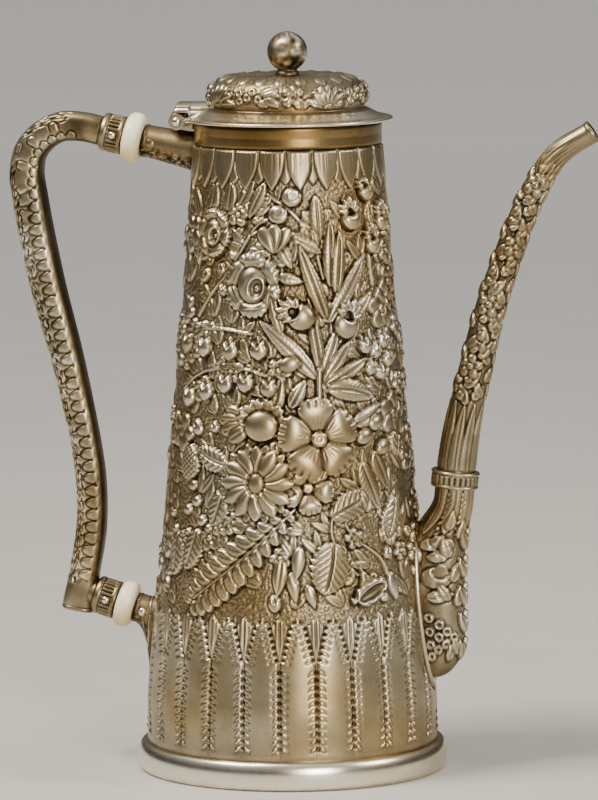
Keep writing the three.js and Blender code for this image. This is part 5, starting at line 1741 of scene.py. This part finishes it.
def make_grip():
    """Chases both faces of the grip and sweeps it: a chain of scallops towards its inside,
    then leaf-like dents and dashes, and two rows of dashes on its outside."""
    path, far = grip_path()
    t = far / far[-1]
    half = grip_half(t)
    columns = np.arange(GRIP_COLUMNS) * 360 / GRIP_COLUMNS - 180
    f = Field(columns, far, half * 1.08)
    for count, place in enumerate(np.arange(9, far[-1] - 9, SCALLOP_PITCH)):
        for side in (-1, 1):
            mess = rng.random(8)
            chain = 118 - 16 * float(smooth(place, 30, 55)) + 3 * (mess[0] - 0.5)
            scallop(f, side * chain, place + 0.5 * mess[1], 1.9, 90 + side * (60 + 50 * mess[2]))
            if place > 34 or count % 2:
                way = 90 + side * 140 * mess[4]
                scallop(f, side * (chain - 33), place + 1.8 + mess[3], 1.5, way)
            for away in (68, 54, 42, 28):
                mess = rng.random(8)
                dent = leaf(2.2 + 1.4 * mess[5], 1.0 + 0.4 * mess[6], lift=-0.3, crown=-0.1, rib=0)
                f.lay(side * (away + 12 * (mess[7] - 0.5)), place + 3 * mess[4], 6,
                      90 + side * (mess[3] - 0.35) * 100, dent, groove=0.0, edge=0.2)
            petal = leaf(3.6, 2.2, lift=0.08, crown=0.15, rib=0.5)
            f.lay(side * (46 + 16 * mess[2]), place + 2 * mess[0], 6,
                  90 + side * 60 * (mess[3] - 0.4), petal, groove=0.42, groove_w=0.28)
    for place in np.arange(13, far[-1] - 6, 3.4):
        for side in (-1, 1):
            dash = leaf(2.2, 0.75, lift=-0.26, crown=-0.05, rib=0)
            f.lay(side * 17, place, 4, 90 - side * 12, dash, groove=0.0, edge=0.18)
    worn = 1 - smooth(np.abs(f.across), 134, 146)[None, :]
    ends = smooth(far, 3, 8) * (1 - smooth(far, far[-1] - 9, far[-1] - 5))
    f.height = soften(f.height * worn * ends[:, None], 0.55)
    blotch = 1.6 * soften(rng.standard_normal(f.height.shape), 5.0)
    shade = recess_of(2.2 * f.height, CHASING_STEP, 0.47) + blotch
    # Painted highlight along the outside edge; painted shade over the plain inside edge.
    shade = shade - 0.12 * (1 - smooth(np.abs(f.across), 20, 50))[None, :]
    inner = smooth(np.abs(f.across), 126, 145)[None, :]
    shade = shade * (1 - inner) + 0.76 * inner + 0.1 * (1 - smooth(far, 20, 60))[:, None]
    points = sweep(path, half, half, f.height, GRIP_SQUARENESS)
    piece = build_tube("scaled_grip", points, np.clip(shade, 0, 1), "pot", "chased_silver", CHASED)
    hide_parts("handle_grip")
    down = path[-1] - path[-2]
    down /= np.linalg.norm(down)
    drop = np.array([0.15, 0.35, 1.1, 1.45])
    cap_path = path[-1] + drop[:, None] * down
    cap_half = grip_half(np.array(1.0)) + np.array([-0.2, 0.0, 0.0, -0.35])
    flat = np.zeros((len(drop), GRIP_COLUMNS))
    cap = sweep(cap_path, cap_half, cap_half, flat, GRIP_SQUARENESS)
    piece = build_tube("grip_foot_plate", cap, 0.6, "pot", "plain_silver", PLAIN, pole_shade=0.6)
    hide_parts("grip_end_cap")


make_grip()

# %% [markdown]
# ## The spout
# The spout springs from a pouch that is soldered to the wall over a strainer, inside a
# pointed oval frame. A ribbed ring covers the joint of pouch and neck. The neck is chased
# with long leaf panels, then blossoms, and is plain towards its mouth, where a painted
# highlight lightens it.

# %% Spout frame
ring_low, ring_high = span("spout_ring")
SPOUT_TILT = np.radians(6.0)
RING_CENTRE = (ring_low + ring_high) / 2
RING_AXIS = np.array([np.sin(SPOUT_TILT), 0, np.cos(SPOUT_TILT)])
RING_ACROSS = np.array([np.cos(SPOUT_TILT), 0, -np.sin(SPOUT_TILT)])
TIP = np.array([99.4, 0, 208.3])
ROOT_R, TIP_R, SPOUT_WALL = 6.2, 3.6, 0.9
FLANGE_COLUMNS = 200
print("spout ring at", RING_CENTRE.round(2))


def make_flange():
    """A frame that follows the wall: its underside lies in the wall, its top has a raised
    bead round the edge and dips before it rises to the pouch."""
    share = np.linspace(0.02, 1, 26)
    top = np.concatenate([[1.0, 0.995, 0.98, 0.955, 0.93, 0.9], np.linspace(0.88, 0.02, 34)])
    rho = np.concatenate([share, top])
    height = np.interp(top, [0.3, 0.55, 0.74, 0.84, 0.9, 0.95, 0.985, 1.0],
                       [2.2, 1.7, 1.05, 0.95, 1.45, 1.55, 1.2, 0.55])
    lift = np.concatenate([np.full(len(share), -0.3), height])
    angle = circle(FLANGE_COLUMNS)
    middle, tall = (flange_low[2] + flange_high[2]) / 2, (flange_high[2] - flange_low[2]) / 2
    y = flange_high[1] * rho[:, None] * np.cos(angle)
    z = middle + tall * rho[:, None] * np.sin(angle)
    base = wall_radius(z)
    turn = np.arcsin(np.clip(y / base, -1, 1))
    r = base + lift[:, None]
    points = np.stack([r * np.cos(turn), r * np.sin(turn), z], -1)
    worn = np.interp(top, [0.6, 0.8, 0.86, 0.93, 0.99, 1], [0.6, 0.5, 0.42, 0.12, 0.3, 0.6])
    shade = np.concatenate([np.full(len(share), 0.6), worn])[:, None]
    piece = build_tube("spout_frame", points, shade, "pot", "plain_silver", PLAIN)
    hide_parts("spout_flange")


make_flange()

# %% Pouch
POUCH_LOW, POUCH_FULL = 30.0, 60.0
POUCH_OUT, POUCH_HALF = 14.2, 7.0
POUCH_COLUMNS = 200


def pouch_sections(share):
    """Front, back, half width and height of each section: a rounded bottom, a full belly
    that follows the wall, and a top that closes to the round ring."""
    joint = RING_CENTRE - 0.2 * RING_AXIS
    z = POUCH_LOW + (joint[2] - POUCH_LOW) * share
    axis_x = joint[0] - (joint[2] - z) * np.tan(SPOUT_TILT)
    full = np.sqrt(1 - (1 - np.minimum(share / 0.22, 1)) ** 2)
    straight = smooth(z, POUCH_FULL, joint[2] - 5)
    belly = float(wall_radius(POUCH_FULL)) + POUCH_OUT
    front = belly + (axis_x + ROOT_R - belly) * straight - (1 - full) * 10
    free = smooth(z, flange_high[2] - 6, joint[2] - 6)
    back = wall_radius(z) - 3
    back = back + (axis_x - ROOT_R - back) * free
    low_half = POUCH_HALF * (0.25 + 0.75 * full)
    half = low_half + (ROOT_R - low_half) * straight
    tilt = SPOUT_TILT * smooth(z, flange_high[2] - 6, joint[2])
    return z, front, back, half, tilt


def pouch_ornament(f):
    """Under the ring, darts with feathered edges; then a heart flower, a crescent, a pointed
    leaf and a bunch of ringed grapes on each face, and leaves down the front."""
    for centre in (-120, -75, -30, 15, 60, 105, 150):
        f.lay(centre, 93.5, 20, -90, leaf(16, 7.0, p=0.35, q=0.75, lift=0.35, crown=0.5, rib=0.5,
                                           veins=0.2, vein_pitch=1.5), groove=0.5)
    for centre in (-97, -52, 38, 83, 128):
        for k in range(8):
            ringed_berry(f, centre + 0.6 * k, 91 - 1.9 * k, 0.55)
    for side in (-1, 1):
        for way, size in ((35, 5.2), (90, 5.0), (145, 5.2), (250, 4.0), (290, 4.0)):
            turn = way if side > 0 else 180 - way
            petal = leaf(size, 4.2, p=0.9, q=0.45, lift=0.6, crown=0.9, rib=0.0)
            f.lay(side * 84, 72.5, 8, turn, petal)
        ringed_berry(f, side * 84, 73, 1.0)
        f.lay(side * 88, 63.5, 8, 0, dome(4.6, 3.6, 1.0, lift=0.5), groove=0.6)
        f.lay(side * 78, 65.5, 6, 0, dome(2.4, 2.2, -0.4, lift=0.3), groove=0.1)
        turn = 172 if side > 0 else 8
        f.lay(side * 112, 57.0, 12, turn, leaf(8.8, 4.4, lift=0.6, crown=0.9, rib=0.35))
        for angle, z in ((110, 50.3), (86, 48.2), (110, 45.8), (88, 44.2), (68, 46), (110, 41.4),
                         (90, 40), (106, 37.6), (70, 41.8), (50, 44)):
            ringed_berry(f, side * angle, z, 1.65)
        spray = leaf(7.0, 3.6, lift=0.5, crown=0.8, rib=0.35, veins=0.15)
        for angle, z, way in ((58, 70, 70), (52, 62, 110), (60, 56, 60), (40, 54, 100),
                              (38, 76, 95), (60, 36, 100), (30, 38, 60), (128, 68, 80),
                              (66, 79, 80)):
            f.lay(side * angle, z, 9, way if side > 0 else 180 - way, spray)
    for z in (36, 45, 54, 63, 72):
        for side in (-1, 1):
            f.lay(side * 6, z, 10, 90 - side * 28, leaf(8.0, 3.8, lift=0.5, crown=0.9, rib=0.35))
        f.lay(0, z + 6, 4, 0, dome(1.7, 1.7, 0.9, lift=0.5))


def make_pouch():
    """Sweeps the sections upwards; what would lie inside the pot is pushed out to the middle
    of the wall's thickness."""
    bottom = 0.22 * (1 - np.cos(np.linspace(0.02, np.pi / 2, 44)))
    share = np.concatenate([bottom, np.linspace(0.22, 1, 160)[1:]])
    z, front, back, half, tilt = pouch_sections(share)
    columns = np.arange(POUCH_COLUMNS) * 360 / POUCH_COLUMNS - 180
    f = Field(columns, z, np.full(len(z), 7.7))
    pouch_ornament(f)
    ends = smooth(z, POUCH_LOW + 0.5, POUCH_LOW + 4) * (1 - smooth(z, z[-1] - 1.2, z[-1]))
    backward = 1 - smooth(np.abs(columns), 118, 138)
    f.height = 0.8 * soften(f.height * ends[:, None] * backward[None, :], 0.55)
    shade = recess_of(1.2 * f.height, CHASING_STEP, 0.46)
    angle = np.radians(columns)
    c, s = np.cos(angle), np.sin(angle)
    reach = ((front - back) / 2)[:, None] + f.height
    side = half[:, None] + f.height
    x = ((front + back) / 2)[:, None] + reach * c * np.cos(tilt)[:, None]
    height = z[:, None] - reach * c * np.sin(tilt)[:, None]
    y = side * s
    r = np.hypot(x, y)
    push = np.maximum((wall_radius(height) - SUNK) / r, 1)
    points = np.stack([x * push, y * push, height], -1)
    piece = build_tube("spout_pouch", points, shade, "pot", "chased_silver", CHASED)
    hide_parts("spout_base")


make_pouch()

# %% Ribbed ring
RING_RIBS = 24
RING_COLUMNS = 240
RING_HALF, DRUM_R = 2.75, 7.1


def make_ring():
    """Two thin rims and a drum whose ribs follow |cos(n a / 2)|."""
    h = RING_HALF
    body = [(6.3, -h), (7.5, -h), (7.85, -h + 0.45), (7.6, -h + 1.0), (DRUM_R, -h + 1.15),
            (DRUM_R, h - 1.35), (7.6, h - 1.2), (8.0, h - 0.6), (7.6, h), (6.3, h)]
    outline, _ = along_line(body, 0.2)
    points = turned(outline, RING_COLUMNS)
    angle = circle(RING_COLUMNS)[None, :]
    s = points[..., 2]
    outside = np.hypot(points[..., 0], points[..., 1]) > 6.9
    drum = smooth(s, -h + 1.0, -h + 1.4) * (1 - smooth(s, h - 1.7, h - 1.3)) * outside
    wave = np.abs(np.cos(RING_RIBS / 2 * angle)) ** 0.7
    points[..., :2] *= (1 + 0.65 * wave * drum / DRUM_R)[..., None]
    shade = 0.3 + drum * 0.55 * (1 - wave) + 0.1 * drum
    placed = (RING_CENTRE + points[..., :1] * RING_ACROSS + points[..., 1:2] * SIDEWAYS
              + points[..., 2:] * RING_AXIS)
    piece = build_tube("ribbed_ring", placed, shade, "pot", "chased_silver", CHASED, ends="joined")
    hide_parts("spout_ring")


make_ring()

# %% Neck
NECK_COLUMNS = 144
SHARES = [(0, 0), (0.05, 0.14), (0.15, 0.32), (0.265, 0.5), (0.41, 0.67), (0.565, 0.82),
          (0.74, 0.93), (1, 1)]


def neck_ornament(f, length):
    """Long ribbed panels above the ring, then two strings of leaves and blossoms that wind
    up both faces and fade into streaks 15 mm short of the mouth."""
    for centre in (-126, -90, -54, -18, 18, 54, 90, 126, 162, -162):
        f.lay(centre, 2.0, 30, 90, leaf(24, 4.6, p=0.2, q=0.7, lift=0.3, crown=0.35, rib=0.35,
                                         veins=0.12, vein_pitch=1.4), groove=0.5)
    for side in (-1, 1):
        for count, place in enumerate(np.arange(27, length - 17, 5.2)):
            lean = 34 * (-1) ** count
            mess = rng.random(4)
            angle = side * (84 + 22 * np.sin(count * 1.1))
            if count % 4 == 2:
                ring_of(f, angle, place, 5, dome(1.9, 1.6, 0.75, lift=0.5), 2.5, 18, 7)
                f.lay(angle, place, 3, 0, dome(1.1, 1.1, 0.5, lift=0.8))
            else:
                f.lay(angle, place - 2, 12, 90 + lean, leaf(7.5, 3.6, lift=0.5, crown=0.7, rib=0.3))
                behind = leaf(6.0, 3.4, lift=0.5, crown=0.8, rib=0.25)
                f.lay(angle - 14 * side, place, 12, 90 - lean, behind)
                f.lay(angle + side * (24 + 8 * mess[0]), place + mess[1], 4, 0,
                      dome(1.5, 1.7, 0.8, lift=0.5))
            for away in (38, 134):
                f.lay(side * away, place + 2 * mess[2], 10, 90 - lean * side,
                      leaf(6.4, 3.4, lift=0.4, crown=0.7, rib=0.3))
            f.lay(side * 10, place + 2 * mess[3], 8, 90 + side * 24,
                  leaf(5.4, 2.8, lift=0.4, crown=0.6, rib=0.3))


def make_neck():
    """An outside skin up to the mouth, a rolled lip, and a plain inside skin back down."""
    start = RING_CENTRE + 0.2 * RING_AXIS
    reach = TIP - start
    path, far = through([start + (reach[0] * x, 0, reach[2] * z) for x, z in SHARES], PATH_STEP)
    t = far / far[-1]
    radius = ROOT_R + (TIP_R - ROOT_R) * t ** 0.8
    columns = np.arange(NECK_COLUMNS) * 360 / NECK_COLUMNS - 180
    f = Field(columns, far, radius)
    neck_ornament(f, far[-1])
    ends = smooth(far, 2.4, 4.0) * (1 - smooth(far, far[-1] - 27, far[-1] - 13))
    streaks = np.sin(np.radians(columns) * 17 + 2 * np.sin(far[:, None] / 5))
    streaks = 0.16 * streaks * np.exp(-((far[:, None] - far[-1] + 17) / 7) ** 2)
    f.height = 0.7 * soften(f.height * ends[:, None], 0.55) + streaks
    shade = recess_of(1.4 * f.height, CHASING_STEP, 0.55)
    # Painted highlight: the recess value drops over the last 34 mm towards the mouth.
    bright = 0.08 * smooth(far, far[-1] - 34, far[-1] - 4)[:, None]
    shade = np.clip(shade - bright, 0, 1)
    lip = 0.25 * smooth(far, far[-1] - 1.6, far[-1] - 0.6)[:, None]
    outside = sweep(path, radius, radius, f.height + lip)
    thin = radius - SPOUT_WALL
    flat = np.zeros((len(path[::-8]), NECK_COLUMNS))
    inside = sweep(path[::-8], thin[::-8], thin[::-8], flat)
    inside = np.roll(inside[:, ::-1], 1, axis=1)
    points = np.concatenate([outside, inside])
    shade = np.concatenate([shade, np.full(inside.shape[:2], 0.7)])
    piece = build_tube("chased_neck", points, shade, "pot", "chased_silver", CHASED, ends="joined")
    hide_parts("spout_neck")


make_neck()

# %% Finishes for the nodes that stay as the CAD made them
KEPT = {"base_plate": TONED, "finial_nut": PLAIN}
for name, material in KEPT.items():
    part = bpy.data.objects[name]
    part.data.materials.clear()
    part.data.materials.append(material)
